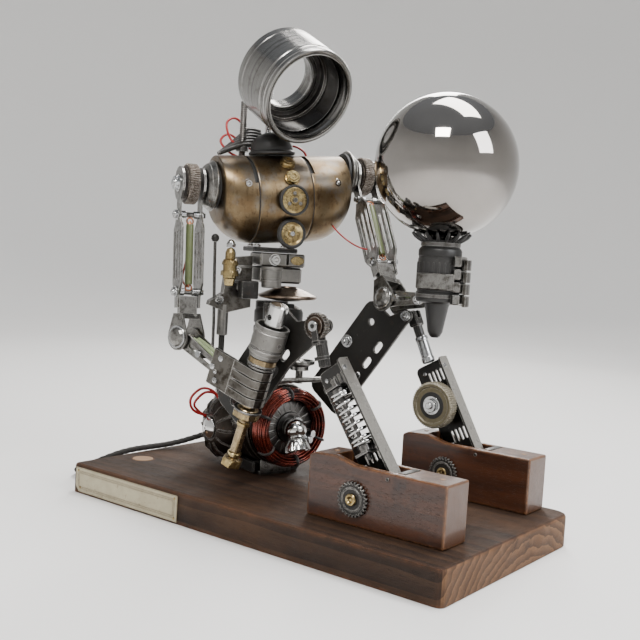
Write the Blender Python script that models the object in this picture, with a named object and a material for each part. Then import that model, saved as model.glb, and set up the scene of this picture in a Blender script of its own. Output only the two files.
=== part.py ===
"""Seated robot lamp made of machine parts, on a wooden plank, holding a mirrored globe bulb.

The robot faces -Y, its left side is +X, and Z is up. The origin is under the middle of the plank.
Sizes are in millimetres and MM turns them into metres.
"""
import math

import bmesh
import bpy
from mathutils import Matrix, Vector

MM = 0.001
GAP = 0.3                       # between pieces that touch

# plank
PLANK_LENGTH = 410.0
PLANK_WIDTH = 220.0
PLANK_HEIGHT = 28.0
DECK = PLANK_HEIGHT + GAP       # what stands on the plank starts here

# feet: two old plane bodies
FOOT = Vector((33.4, 130.0, 48.6))
RIGHT_FOOT = Vector((-75.1, -184.0, DECK))
LEFT_FOOT = Vector((67.1, -182.4, DECK))

# body: the motor, the waist and the torso stand over one point, each turned a little to the robot's right
BODY = Vector((16.0, 84.0, 0.0))
MOTOR_YAW = -18.0
TORSO_YAW = -28.0
MOTOR_X = 8.0
MOTOR_Z = 76.0
MOTOR_RADIUS = 40.0
HIP_Y = -44.0
HIP_Z = 120.5
TORSO_X = 9.0
TORSO_Z = 292.0
TORSO_TILT = 5.0
SHOULDER_REACH = 89.3
RIGHT_SHOULDER_Z = 299.5
LEFT_SHOULDER_Z = 322.0

# arms
UPPER_ARM = 143.0
RIGHT_FOREARM = 59.0
LEFT_FOREARM = 43.0
ARM_HALF = 9.0                  # from an arm's middle to the inside of its plates
PLATE = 2.0
RIGHT_ARM_SWING = 5.0
LEFT_ARM_SWING = 33.0
RIGHT_ELBOW_TWIST = 28.0
LEFT_ELBOW_TWIST = 18.7
RIGHT_FOREARM_PITCH = -25.0     # below level
LEFT_FOREARM_PITCH = 6.0

# legs
RIGHT_LEG_X = -58.0
LEFT_LEG_X = 84.0

# head and lamp
HEAD_REAR = Vector((14.0, 78.0, 411.0))
HEAD_HINGE = Vector((19.5, 99.0, 373.0))
HEAD_YAW = -15.0
HEAD_PITCH = -29.0
HEAD_RADIUS = 45.5
HEAD_LENGTH = 58.0
LAMP = Vector((40.0, -96.0, 0.0))
GLOBE_Z = 324.0
GLOBE_RADIUS = 62.5

# cord
CORD_RADIUS = 3.0


# ---------------------------------------------------------------- materials

def material(name, color, roughness, metallic):
    found = bpy.data.materials.get(name)
    if found:
        return found
    made = bpy.data.materials.new(name)
    made.use_nodes = True
    made.diffuse_color = (*color, 1.0)
    shader = made.node_tree.nodes["Principled BSDF"]
    shader.inputs["Base Color"].default_value = (*color, 1.0)
    shader.inputs["Roughness"].default_value = roughness
    shader.inputs["Metallic"].default_value = metallic
    return made


def stained_wood():
    return material("stained_wood", (0.16, 0.09, 0.05), 0.6, 0.0)


def mahogany():
    return material("mahogany", (0.28, 0.09, 0.04), 0.35, 0.0)


def brass():
    return material("old_brass", (0.62, 0.46, 0.24), 0.3, 1.0)


def steel():
    return material("worn_steel", (0.55, 0.55, 0.53), 0.35, 1.0)


def chrome():
    return material("chrome", (0.8, 0.8, 0.8), 0.1, 1.0)


def black_steel():
    return material("black_steel", (0.03, 0.03, 0.032), 0.4, 0.8)


def cast_alloy():
    return material("cast_alloy", (0.5, 0.5, 0.48), 0.5, 1.0)


def black_plastic():
    return material("black_plastic", (0.02, 0.02, 0.02), 0.45, 0.0)


def copper_coil():
    return material("copper_coil", (0.45, 0.1, 0.05), 0.3, 0.6)


def green_tube():
    return material("green_tube", (0.45, 0.5, 0.3), 0.5, 0.0)


def mirror_glass():
    return material("mirror_glass", (0.45, 0.42, 0.38), 0.03, 1.0)


def label_brass():
    return material("label_plate", (0.5, 0.45, 0.3), 0.4, 0.3)


def cord_cloth():
    return material("cord_cloth", (0.02, 0.02, 0.02), 0.8, 0.0)


# ---------------------------------------------------------------- frames

def at(x, y, z, yaw=0.0, pitch=0.0, roll=0.0):
    """A frame at a place, turned about Z by yaw, then about its own X by pitch and its own Y by roll."""
    turn = Matrix.Rotation(math.radians(yaw), 4, "Z")
    turn = turn @ Matrix.Rotation(math.radians(pitch), 4, "X")
    turn = turn @ Matrix.Rotation(math.radians(roll), 4, "Y")
    return Matrix.Translation(Vector((x, y, z)) * MM) @ turn


def motor_frame():
    return at(BODY.x, BODY.y, 0.0, MOTOR_YAW)


def torso_frame():
    return at(BODY.x, BODY.y, 0.0, TORSO_YAW)


def torso_point(x, y, z):
    return torso_frame() @ (Vector((x, y, z)) * MM) / MM


def along(start, end):
    """A frame at start whose Z runs to end."""
    axis = (Vector(end) - Vector(start)).normalized()
    return Matrix.Translation(Vector(start) * MM) @ axis.to_track_quat("Z", "Y").to_matrix().to_4x4()


X_AXIS = Matrix.Rotation(math.radians(90.0), 4, "Y")      # turns Z onto X
Y_AXIS = Matrix.Rotation(math.radians(-90.0), 4, "X")     # turns Z onto Y


# ---------------------------------------------------------------- solids

def finish(bm, name, paint, frame=None, parent=None):
    """Makes the node: its mesh is in millimetres in bm, placed by frame, or under parent's frame."""
    bmesh.ops.recalc_face_normals(bm, faces=bm.faces)
    bmesh.ops.scale(bm, vec=(MM, MM, MM), verts=bm.verts)
    mesh = bpy.data.meshes.new(name)
    bm.to_mesh(mesh)
    bm.free()
    mesh.shade_smooth()
    mesh.set_sharp_from_angle(angle=math.radians(35.0))
    mesh.materials.append(paint)
    node = bpy.data.objects.new(name, mesh)
    bpy.context.scene.collection.objects.link(node)
    if parent:
        node.parent = parent
    if frame:
        node.matrix_local = frame
    return node


def joint_frame(name, frame, parent=None):
    """An empty on a joint's axis, whose X is the axis."""
    empty = bpy.data.objects.new(name, None)
    bpy.context.scene.collection.objects.link(empty)
    if parent:
        empty.parent = parent
    empty.matrix_local = frame
    return empty


def lathe(profile, sides=32, turn=None):
    """A turned solid about Z: profile lists (radius, z) once round, a closed ring if it never reaches radius 0."""
    bm = bmesh.new()
    rows = []
    for radius, z in profile:
        if radius == 0.0:
            rows.append([bm.verts.new((0.0, 0.0, z))])
            continue
        angles = [2.0 * math.pi * k / sides for k in range(sides)]
        rows.append([bm.verts.new((radius * math.cos(a), radius * math.sin(a), z)) for a in angles])
    pairs = list(zip(rows, rows[1:]))
    if len(rows[0]) > 1:
        pairs.append((rows[-1], rows[0]))
    for low, high in pairs:
        for k in range(sides):
            after = (k + 1) % sides
            corners = [low[k % len(low)], low[after % len(low)], high[after % len(high)], high[k % len(high)]]
            unique = list(dict.fromkeys(corners))
            if len(unique) > 2:
                bm.faces.new(unique)
    if turn:
        bm.transform(turn)
    return bm


def disc(radius, low, high, sides=24, bevel=0.0):
    """A cylinder's profile, with both rims eased by bevel."""
    if bevel == 0.0:
        return lathe([(0.0, low), (radius, low), (radius, high), (0.0, high)], sides)
    return lathe([(0.0, low), (radius - bevel, low), (radius, low + bevel), (radius, high - bevel),
                  (radius - bevel, high), (0.0, high)], sides)


def prism(outline, low, high, holes=()):
    """An outline in XY, with holes, extruded from low to high."""
    bm = bmesh.new()
    edges = []
    for loop in (outline, *holes):
        verts = [bm.verts.new((x, y, low)) for x, y in loop]
        edges += [bm.edges.new((verts[k - 1], verts[k])) for k in range(len(verts))]
    bmesh.ops.triangle_fill(bm, edges=edges, use_beauty=True)
    made = bmesh.ops.extrude_face_region(bm, geom=bm.faces[:])
    moved = [v for v in made["geom"] if isinstance(v, bmesh.types.BMVert)]
    bmesh.ops.translate(bm, vec=(0.0, 0.0, high - low), verts=moved)
    return bm


def box(low, high, bevel=0.0, segments=1):
    bm = bmesh.new()
    size = Vector(high) - Vector(low)
    bmesh.ops.create_cube(bm, size=1.0)
    bmesh.ops.scale(bm, vec=size, verts=bm.verts)
    bmesh.ops.translate(bm, vec=(Vector(high) + Vector(low)) / 2.0, verts=bm.verts)
    if bevel:
        bmesh.ops.bevel(bm, geom=bm.edges[:], offset=bevel, segments=segments, affect="EDGES", profile=0.5)
    return bm


def arc(cx, cy, radius, start, end, steps):
    """Points round a centre, from one angle to another in degrees."""
    angles = [math.radians(start + (end - start) * k / steps) for k in range(steps + 1)]
    return [(cx + radius * math.cos(a), cy + radius * math.sin(a)) for a in angles]


def slot(cx, low, high, half, steps=4):
    """A long hole with round ends, running along Y."""
    return arc(cx, high - half, half, 0.0, 180.0, steps) + arc(cx, low + half, half, 180.0, 360.0, steps)


def gear_outline(radius, teeth, depth):
    """A toothed rim with flat tips."""
    points = []
    for k in range(teeth):
        for share, r in ((0.0, radius - depth), (0.3, radius), (0.6, radius)):
            a = 2.0 * math.pi * (k + share) / teeth
            points.append((r * math.cos(a), r * math.sin(a)))
    return points


def sweep(points, radius, sides=8):
    """A round bar along a list of points, closed at both ends."""
    bm = bmesh.new()
    spots = [Vector(p) for p in points]
    rings = []
    side = None
    for k, spot in enumerate(spots):
        ahead = (spots[min(k + 1, len(spots) - 1)] - spots[max(k - 1, 0)]).normalized()
        side = ahead.orthogonal() if side is None else side - ahead * side.dot(ahead)
        side.normalize()
        other = ahead.cross(side)
        angles = [2.0 * math.pi * n / sides for n in range(sides)]
        rings.append([bm.verts.new(spot + radius * (side * math.cos(a) + other * math.sin(a))) for a in angles])
    for low, high in zip(rings, rings[1:]):
        for n in range(sides):
            after = (n + 1) % sides
            bm.faces.new((low[n], low[after], high[after], high[n]))
    bm.faces.new(rings[0])
    bm.faces.new(rings[-1])
    return bm


def placed(bm, turn):
    """Moves a shape in millimetres by a frame whose own offset is in metres."""
    scaled = turn.copy()
    scaled.translation = turn.translation / MM
    bm.transform(scaled)
    return bm


def combine(node, shapes, operation):
    """Joins shapes to a node, or cuts them from it, one Boolean for each."""
    for count, bm in enumerate(shapes):
        bmesh.ops.recalc_face_normals(bm, faces=bm.faces)
        bmesh.ops.scale(bm, vec=(MM, MM, MM), verts=bm.verts)
        mesh = bpy.data.meshes.new(f"{node.name}_tool_{count}")
        bm.to_mesh(mesh)
        bm.free()
        mesh.shade_smooth()
        tool = bpy.data.objects.new(mesh.name, mesh)
        bpy.context.scene.collection.objects.link(tool)
        tool.parent = node
        tool.hide_render = True
        tool.display_type = "WIRE"
        step = node.modifiers.new(f"{operation.lower()}_{count}", "BOOLEAN")
        step.operation = operation
        step.object = tool
        step.solver = "EXACT"
    return node


def cut(node, *shapes):
    return combine(node, shapes, "DIFFERENCE")


def add(node, *shapes):
    return combine(node, shapes, "UNION")


# ---------------------------------------------------------------- plank

def plank():
    half_x = PLANK_WIDTH / 2.0
    half_y = PLANK_LENGTH / 2.0
    outline = []
    for sx, sy, radius, start in ((1, -1, 14.0, -90.0), (1, 1, 8.0, 0.0), (-1, 1, 4.0, 90.0), (-1, -1, 6.0, 180.0)):
        outline += arc(sx * (half_x - radius), sy * (half_y - radius), radius, start, start + 90.0, 4)
    bm = prism(outline, 0.0, PLANK_HEIGHT)
    bm.normal_update()
    rim = [e for e in bm.edges if all(abs(v.co.z - PLANK_HEIGHT) < 0.01 for v in e.verts)
           and sorted(abs(f.normal.z) > 0.5 for f in e.link_faces) == [False, True]]
    bmesh.ops.bevel(bm, geom=rim, offset=2.5, segments=2, affect="EDGES", profile=0.5)
    node = finish(bm, "base_plank", stained_wood())
    inlay = Vector((-48.0, 177.0, 0.0))
    cut(node, placed(disc(10.6, PLANK_HEIGHT - 2.0, PLANK_HEIGHT + 2.0), at(*inlay)))
    finish(disc(10.3, PLANK_HEIGHT - 1.7, PLANK_HEIGHT + 0.4, bevel=0.3), "plank_inlay",
           material("inlay", (0.55, 0.36, 0.2), 0.5, 0.0), at(*inlay))


def name_plate():
    """A blank thin plate on the plank's right side, near the back, with two clipped corners."""
    low, high = 1.5, PLANK_HEIGHT - 3.0
    start, end, clip = 60.0, 200.0, 5.0
    outline = [(start, low), (end - clip, low), (end, low + clip), (end, high), (start + 1.0, high), (start, high - 1.0)]
    bm = prism(outline, 0.0, 1.0)
    face_x = Matrix(((0, 0, -1, 0), (1, 0, 0, 0), (0, 1, 0, 0), (0, 0, 0, 1)))
    bm.transform(face_x)
    bmesh.ops.translate(bm, vec=(-PLANK_WIDTH / 2.0 - GAP, 0.0, 0.0), verts=bm.verts)
    finish(bm, "name_plate", label_brass())


# ---------------------------------------------------------------- legs

def foot_block(name, corner):
    """A plane body: a long block with a raised rear horn, a throat cut in its top and a sloping ramp."""
    wide, long, tall = FOOT
    side = [(0.0, 0.0), (long, 0.0), (long, tall + 1.0), (long - 6.0, tall + 4.0), (long - 26.0, tall + 5.0)]
    side += [(long - 40.0, tall + 1.5), (long - 46.0, tall), (0.0, tall)]
    bm = prism(side, 0.0, wide)
    upright = Matrix(((0, 0, 1, 0), (1, 0, 0, 0), (0, 1, 0, 0), (0, 0, 0, 1)))
    bm.transform(upright)
    bm.normal_update()
    edges = [e for e in bm.edges if len(e.link_faces) == 2 and e.calc_face_angle(0.0) > 0.5]
    bmesh.ops.bevel(bm, geom=edges, offset=1.6, segments=2, affect="EDGES", profile=0.5)
    node = finish(bm, name, mahogany(), at(*corner))
    wall = 5.5
    throat = [(40.0, tall + 9.0), (40.0, tall), (62.0, tall - 26.0), (106.0, tall - 26.0), (106.0, tall + 9.0)]
    cutter = prism(throat, wall, wide - wall)
    cutter.transform(upright)
    return cut(node, cutter)


def foot_gear(name, corner):
    """A small toothed wheel with an eyelet, on the outside of a foot."""
    bm = prism(gear_outline(14.3, 26, 1.5), 0.0, 3.0)
    node = finish(bm, name, black_steel(), at(corner.x - GAP, corner.y + 83.0, DECK + 22.0) @ X_AXIS.inverted())
    add(node, disc(5.0, 2.0, 4.6, 16))
    return cut(node, disc(2.2, 1.5, 6.0, 12))


def shin_frame(x, foot, top):
    """Z runs up the shin along the front face of its channel, X is the robot's left, -Y is forward."""
    base = Vector((x, *foot))
    rise = (Vector((x, *top)) - base).normalized()
    out = Vector((1.0, 0.0, 0.0))
    back = rise.cross(out)
    turn = Matrix((out, back, rise)).transposed().to_4x4()
    return Matrix.Translation(base * MM) @ turn


RIGHT_SHIN = ((-121.9, 82.2), (-69.0, 157.8))
LEFT_SHIN = ((-121.2, 80.7), (-80.4, 152.9))
SHIN_LOW = -12.0
WEB_X = 5.0                     # the web's near face, from the leg's middle
FLANGE_X = -7.0
SIDE_ON = Matrix(((0, 0, 1, 0), (1, 0, 0, 0), (0, 1, 0, 0), (0, 0, 0, 1)))   # an XY outline stood in YZ


def shin_channel(name, frame, width, high, opening):
    """A black channel: a flat web with comb slots at both ends, an opening, and a front flange."""
    corner = 5.0
    outline = [(0.0, SHIN_LOW), (width - 5.0, SHIN_LOW), (width, SHIN_LOW + 5.0)]
    outline += arc(width - corner, high - corner, corner, 0.0, 90.0, 3) + [(0.0, high)]
    holes = []
    for middle in (high - 14.0, 12.0):
        for k in range(5):
            holes.append(slot(6.0 + 4.4 * k, middle - 6.0, middle + 6.0, 1.0, 2))
    holes += opening
    web = prism(outline, WEB_X, WEB_X + PLATE, holes)
    web.transform(SIDE_ON)
    node = finish(web, name, black_steel(), frame)
    corner = 4.0
    face = [(WEB_X + PLATE, SHIN_LOW), (WEB_X + PLATE, high - 1.0), (WEB_X, high)]
    face += arc(FLANGE_X + corner, high - corner, corner, 90.0, 180.0, 3) + [(FLANGE_X, SHIN_LOW)]
    flange = prism(face, 0.0, PLATE)
    flange.transform(Matrix(((1, 0, 0, 0), (0, 0, 1, 0), (0, 1, 0, 0), (0, 0, 0, 1))))
    return add(node, flange)


def shin_spring(frame):
    """Coil spring in the right shin, between its two comb plates."""
    turns, radius, wire = 8, 8.0, 1.25
    steps = 10 * turns
    points = []
    for k in range(steps + 1):
        a = 2.0 * math.pi * k / 10.0
        points.append((-5.0 + radius * math.cos(a), 13.6 + radius * math.sin(a), 22.0 + 44.0 * k / steps))
    finish(sweep(points, wire, 5), "right_shin_spring", chrome(), frame)


THIGH_LENGTH = 118.0
THIGH_HALF = 24.0
THIGH_SLOPE = 53.3


def thigh(name, x, end, knee, hip, bolt):
    """A perforated black steel angle from the hip up to the knee, its web upright and facing the sides.

    Its holes and its knee lug are given across and along the web; end is the middle of its knee end.
    """
    s = THIGH_LENGTH
    h = THIGH_HALF
    outline = arc(-h + 9.0, 9.0, 9.0, 180.0, 270.0, 3) + arc(h - 9.0, 9.0, 9.0, -90.0, 0.0, 3)
    outline += [(h, s - 34.0)] + arc(*knee, 6.0, -25.0, 125.0, 6) + [(h - 20.0, s)]
    outline += arc(-h + 9.0, s - 9.0, 9.0, 90.0, 180.0, 3)
    holes = [slot(h - 10.0, 40.0 + 20.0 * k, 53.0 + 20.0 * k, 3.2) for k in range(3)]
    holes += [arc(-3.0, 13.0, 4.6, 0.0, 330.0, 11), arc(-8.0, s - 18.0, 3.4, 0.0, 324.0, 9)]
    holes += [arc(*bolt, 3.0, 0.0, 324.0, 9), arc(*hip, 3.9, 0.0, 330.0, 11), arc(*knee, 2.7, 0.0, 324.0, 9)]
    web = prism(outline, 0.0, 2.5, holes)
    web.transform(Matrix(((0, 0, 1, 0), (-1, 0, 0, 0), (0, 1, 0, 0), (0, 0, 0, 1))))
    rise = Matrix.Rotation(math.radians(90.0 - THIGH_SLOPE), 4, "X")
    frame = Matrix.Translation(Vector((x, *end)) * MM) @ rise @ Matrix.Translation(Vector((0, 0, -s)) * MM)
    node = finish(web, name, black_steel(), frame)
    return add(node, box((0.5, h - 2.5, 12.0), (14.0, h, s - 14.0)))


def legs():
    foot_block("right_foot_block", RIGHT_FOOT)
    foot_block("left_foot_block", LEFT_FOOT)
    foot_gear("right_foot_gear", RIGHT_FOOT)
    foot_gear("left_foot_gear", LEFT_FOOT)
    right = shin_frame(RIGHT_LEG_X, *RIGHT_SHIN)
    left = shin_frame(LEFT_LEG_X, *LEFT_SHIN)
    window = [(5.0, 27.0), (25.0, 27.0), (25.0, 64.0), (5.0, 64.0)]
    shin_channel("right_shin_channel", right, 33.0, 93.0, [window])
    small = [[(27.0, z), (31.0, z), (31.0, z + 5.0), (27.0, z + 5.0)] for z in (30.0, 58.0)]
    shin_channel("left_shin_channel", left, 36.0, 84.0, small)
    shin_spring(right)
    strut = along((-56.0, -50.0, 147.9), (-56.0, -40.6, 181.4))
    finish(disc(5.2, 0.0, 22.6, 16, 0.8), "right_knee_strut", black_steel(), strut)
    gear = prism(gear_outline(11.3, 24, 1.2), -3.0, 3.0)
    knee = finish(gear, "right_knee_gear", black_steel(), at(-58.0, -40.6, 181.4) @ X_AXIS)
    add(knee, disc(2.3, -5.0, 16.5, 12), disc(4.4, -5.0, -2.0, 6))
    fork = finish(box((-6.0, -5.0, -9.0), (6.0, 5.0, 6.0), 1.2), "left_knee_fork", black_steel(),
                  at(84.0, -46.5, 187.0, 0.0, -25.0))
    cut(fork, box((-2.6, -8.0, -2.0), (2.6, 8.0, 9.0)))
    stem = along((84.0, -65.3, 146.9), (84.0, -46.5, 187.0))
    pin = placed(disc(2.3, -16.0, 9.0, 12), at(0.0, 0.0, 1.5) @ X_AXIS)
    shaft = placed(disc(4.6, 0.0, 38.0, 14), (at(84.0, -46.5, 187.0, 0.0, -25.0).inverted() @ stem))
    add(fork, shaft, pin)
    thigh("right_thigh", -46.0, (-5.4, 184.6), (30.2, 136.4), (-12.1, 29.2), (8.0, 80.0))
    thigh("left_thigh", 70.0, (-24.0, 189.0), (17.9, 130.6), (5.6, 36.6), (-14.0, 67.0))
    hip = motor_frame() @ at(0.0, HIP_Y, HIP_Z) @ X_AXIS
    finish(disc(2.6, -66.0, 84.0, 12, 0.5), "hip_axle", steel(), hip)


def shin_wheel():
    """The big knurled wheel bolted to the left shin; it turns on its bolt."""
    left = shin_frame(LEFT_LEG_X, *LEFT_SHIN)
    frame = left @ at(0.0, 20.0, 44.0)
    pivot = joint_frame("left_shin_wheel_axis", frame)
    rim = prism(gear_outline(21.5, 36, 0.8), -17.5, -7.6)
    node = finish(rim, "left_shin_wheel", material("khaki_wheel", (0.4, 0.36, 0.24), 0.5, 0.2), X_AXIS, pivot)
    cut(node, disc(16.0, -20.0, -14.0, 24))
    add(node, prism(arc(0.0, 0.0, 6.4, 0.0, 300.0, 5), -19.0, 4.4))


# ---------------------------------------------------------------- motor and pelvis

def motor():
    frame = motor_frame() @ at(MOTOR_X, 0.0, MOTOR_Z) @ Y_AXIS
    r = MOTOR_RADIUS
    profile = [(0.0, -34.0), (r - 12.0, -34.0), (r - 2.0, -30.0), (r, -27.0), (r, 38.0), (r - 3.0, 45.0)]
    profile += [(r - 8.0, 54.0), (r - 22.0, 63.0), (9.0, 66.0), (9.0, 71.0), (0.0, 71.0)]
    finish(lathe(profile, 36), "motor_housing", material("motor_black", (0.05, 0.04, 0.035), 0.4, 0.5), frame)
    ring = [(27.0, -52.0), (31.0, -56.0), (35.0, -55.0), (37.0, -50.0), (36.0, -36.0), (32.0, -34.6), (28.0, -38.0)]
    finish(lathe(ring, 36), "stator_coil", copper_coil(), frame)
    cradle = box((-26.0, -26.0, DECK), (26.0, 30.0, 40.0), 1.5)
    base = finish(cradle, "motor_cradle", black_steel(), motor_frame() @ at(MOTOR_X, 0.0, 0.0))
    cut(base, placed(disc(r + GAP, -60.0, 60.0, 36), at(0.0, 0.0, MOTOR_Z) @ Y_AXIS))


def pinion():
    """The bright bevel pinion with its domed cap, in front of the coil; it turns on its stud."""
    frame = motor_frame() @ at(6.0, -61.0, 71.0, 0.0, -20.0)
    pivot = joint_frame("pinion_axis", frame)
    teeth, low, high = 14, [], []
    bm = bmesh.new()
    for k in range(teeth):
        for share, r, tip in ((0.0, 10.0, 6.5), (0.28, 12.2, 8.0), (0.6, 12.2, 8.0), (0.88, 10.0, 6.5)):
            a = 2.0 * math.pi * (k + share) / teeth
            low.append(bm.verts.new((r * math.cos(a), r * math.sin(a), -15.0)))
            high.append(bm.verts.new((tip * math.cos(a), tip * math.sin(a), -3.0)))
    for k in range(len(low)):
        after = (k + 1) % len(low)
        bm.faces.new((low[k], low[after], high[after], high[k]))
    bm.faces.new(low)
    bm.faces.new(high)
    node = finish(bm, "drive_pinion", chrome(), None, pivot)
    dome = [(0.0, -7.0), (5.0, -7.0), (5.6, -2.6), (9.6, 0.6), (11.0, 5.0), (9.5, 10.5), (6.0, 14.0), (0.0, 15.5)]
    add(node, lathe(dome, 20))


def hip_pulley():
    """A flat turned cap with a bright rim, on the motor's front."""
    frame = motor_frame() @ at(27.0, -28.0, 128.0)
    profile = [(0.0, -13.0), (3.6, -13.0), (3.6, 0.0), (9.0, 0.0), (9.0, 4.0), (14.5, 6.0), (14.5, 9.5)]
    profile += [(12.5, 9.5), (12.0, 8.0), (0.0, 8.0)]
    finish(lathe(profile, 28), "hip_pulley", steel(), frame)


def waist():
    frame = torso_frame()
    post = [(0.0, 118.0), (17.0, 118.0), (17.0, 134.0), (13.0, 138.0), (13.0, 176.0), (16.0, 180.0)]
    post += [(16.0, 193.0), (0.0, 193.0)]
    finish(lathe(post, 24), "pelvis_casting", black_steel(), frame @ at(8.0, 0.0, 0.0))
    dome = [(0.0, 193.4), (27.0, 197.0), (28.5, 199.5), (22.0, 203.0), (12.0, 207.0), (4.0, 208.5), (0.0, 208.5)]
    finish(lathe(dome, 32), "pelvis_skirt", material("dark_sheet", (0.2, 0.18, 0.16), 0.35, 0.9),
           frame @ at(19.0, -12.0, 0.0))
    cylinder = [(0.0, 206.5), (9.6, 206.5), (9.6, 224.0), (10.4, 224.0), (10.4, 226.5), (0.0, 226.5)]
    finish(lathe(cylinder, 24), "waist_cylinder", cast_alloy(), frame @ at(-2.0, -21.0, 0.0))
    block = finish(box((-12.0, -16.0, 227.0), (34.0, 16.0, 240.0), 1.5), "waist_block", cast_alloy(), frame)
    cut(block, box((14.0, -20.0, 229.0), (17.0, -10.0, 244.0)))
    finish(box((-20.0, -15.0, 240.4), (26.0, 15.0, 245.0), 0.8), "waist_top_plate", black_steel(), frame)
    lower = finish(box((-11.0, -15.0, 211.0), (32.0, 15.0, 226.6), 2.0), "waist_lower_block", cast_alloy(), frame)
    cut(lower, placed(disc(10.8, 200.0, 230.0, 24), at(-2.0, -21.0, 0.0)))
    outline = [(-14.0, 186.0), (-38.0, 180.0), (-56.0, 187.0), (-55.0, 191.0), (-42.0, 199.0), (-40.0, 219.0)]
    outline += [(-32.0, 234.0), (-14.0, 236.0)]
    cast = prism(outline, -8.0, 2.0)
    cast.transform(Matrix(((1, 0, 0, 0), (0, 0, -1, 0), (0, 1, 0, 0), (0, 0, 0, 1))))
    finish(cast, "waist_side_casting", cast_alloy(), frame @ at(0.0, 3.0, 0.0))
    fitting = [(0.0, 207.0), (4.5, 207.0), (5.5, 213.0), (6.6, 214.0), (6.6, 231.0), (5.0, 232.0)]
    fitting += [(5.0, 238.0), (3.5, 241.5), (0.0, 243.0)]
    finish(lathe(fitting, 12), "waist_brass_fitting", brass(), frame @ at(-42.0, -14.0, 0.0))


# ---------------------------------------------------------------- torso

def torso_section(name, low, high, ends):
    """One length of the torso's barrel: rings of radius r about X, whose tops lie in one line."""
    bm = bmesh.new()
    sides, top = 32, 42.0
    stations = [low] + [t for t in range(-60, 61, 6) if low + 2.0 < t < high - 2.0] + [high]
    rings = []
    for t in stations:
        share = abs(t) / 64.0
        r = 42.0 - 10.0 * share ** 5.0
        middle = top - r
        angles = [2.0 * math.pi * k / sides for k in range(sides)]
        rings.append([bm.verts.new((t, r * math.cos(a), middle + r * math.sin(a))) for a in angles])
    for near, far in zip(rings, rings[1:]):
        for k in range(sides):
            after = (k + 1) % sides
            bm.faces.new((near[k], near[after], far[after], far[k]))
    bm.faces.new(rings[0])
    bm.faces.new(rings[-1])
    frame = torso_frame() @ at(TORSO_X, 0.0, TORSO_Z, 0.0, 0.0, -TORSO_TILT)
    node = finish(bm, name, brass(), frame)
    return cut(node, *ends)


def torso():
    torso_section("torso_right_shell", -64.0, -34.3, [box((-37.6, -60.0, 14.0), (-34.0, -24.0, 36.0))])
    torso_section("torso_centre_shell", -33.7, 19.7, [])
    torso_section("torso_left_shell", 20.3, 64.0, [box((20.0, -60.0, 24.0), (23.6, -20.0, 38.0))])
    frame = torso_frame() @ at(TORSO_X, 0.0, TORSO_Z, 0.0, 0.0, -TORSO_TILT)
    cup = [(0.0, 67.8), (23.0, 67.8), (23.6, 69.0), (18.5, 76.5), (0.0, 76.5)]
    for name, turn, height in (("right_shoulder_cup", X_AXIS.inverted(), RIGHT_SHOULDER_Z),
                               ("left_shoulder_cup", X_AXIS, LEFT_SHOULDER_Z)):
        finish(lathe(cup, 28), name, steel(), torso_frame() @ at(TORSO_X, 0.0, height) @ turn)
    dial = [(0.0, 0.0), (13.6, 0.0), (14.4, 1.0), (14.4, 4.0), (12.6, 4.6), (12.0, 3.4), (0.0, 3.4)]
    upper = finish(lathe(dial, 28), "chest_dial", black_plastic(), frame @ at(-3.0, -44.6, -2.0) @ Y_AXIS.inverted())
    add(upper, disc(3.0, 2.0, 5.4, 12))


def chest_wheel():
    """The lower dial: a dished brass wheel with a rubber rim, which turns on its centre screw."""
    frame = torso_frame() @ at(TORSO_X, 0.0, TORSO_Z, 0.0, 0.0, -TORSO_TILT) @ at(-4.0, -37.5, -33.0)
    pivot = joint_frame("chest_wheel_axis", frame @ Matrix.Rotation(math.radians(-90.0), 4, "Z"))
    rim = [(0.0, 0.0), (12.4, 0.0), (14.0, 1.2), (14.0, 4.6), (12.4, 5.8), (10.6, 5.0), (6.0, 3.4), (3.0, 4.0),
           (3.0, 6.4), (0.0, 6.4)]
    node = finish(lathe(rim, 32), "chest_wheel", material("wheel_brass", (0.6, 0.45, 0.2), 0.35, 0.8), X_AXIS, pivot)
    return node


def neck_and_head():
    dome = [(0.0, 0.0), (22.0, 0.0), (22.5, 6.0), (20.5, 12.0), (16.0, 17.0), (9.0, 20.5), (0.0, 22.0)]
    frame = torso_frame() @ at(TORSO_X, 0.0, TORSO_Z, 0.0, 0.0, -TORSO_TILT) @ at(-6.0, 0.0, 42.4)
    finish(lathe(dome, 28), "neck_dome", black_steel(), frame)
    out = Matrix.Rotation(math.radians(HEAD_YAW), 4, "Z") @ Matrix.Rotation(math.radians(-HEAD_PITCH), 4, "X")
    hinge = out.inverted() @ Vector(HEAD_HINGE - HEAD_REAR)
    pivot = joint_frame("head_axis", Matrix.Translation(HEAD_HINGE * MM) @ out)
    frame = Matrix.Translation(-hinge * MM) @ Y_AXIS.inverted()
    r, length = HEAD_RADIUS, HEAD_LENGTH
    ring = [(r - 1.5, 0.0), (r, 1.5), (r, length - 13.0), (r - 0.8, length - 12.2), (r - 0.8, length - 10.5)]
    ring += [(r, length - 9.7), (r, length - 1.2), (r - 1.0, length), (r - 4.5, length), (r - 5.5, length - 1.0)]
    ring += [(r - 6.5, 24.0), (r - 10.0, 22.0), (r - 10.0, 15.0), (r - 19.0, 14.0), (r - 19.0, 0.0)]
    finish(lathe(ring, 44), "head_ring", steel(), frame, pivot)
    back = [("neck_rod_right", (-26.5, 14.0), 333.0, 372.0), ("neck_rod_left", (4.0, 27.0), 329.0, 424.0)]
    for name, place, low, high in back:
        spot = torso_point(*place, 0.0)
        finish(disc(3.5, low, high, 12, 0.8), name, steel(), at(spot.x, spot.y, 0.0))


# ---------------------------------------------------------------- arms

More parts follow.
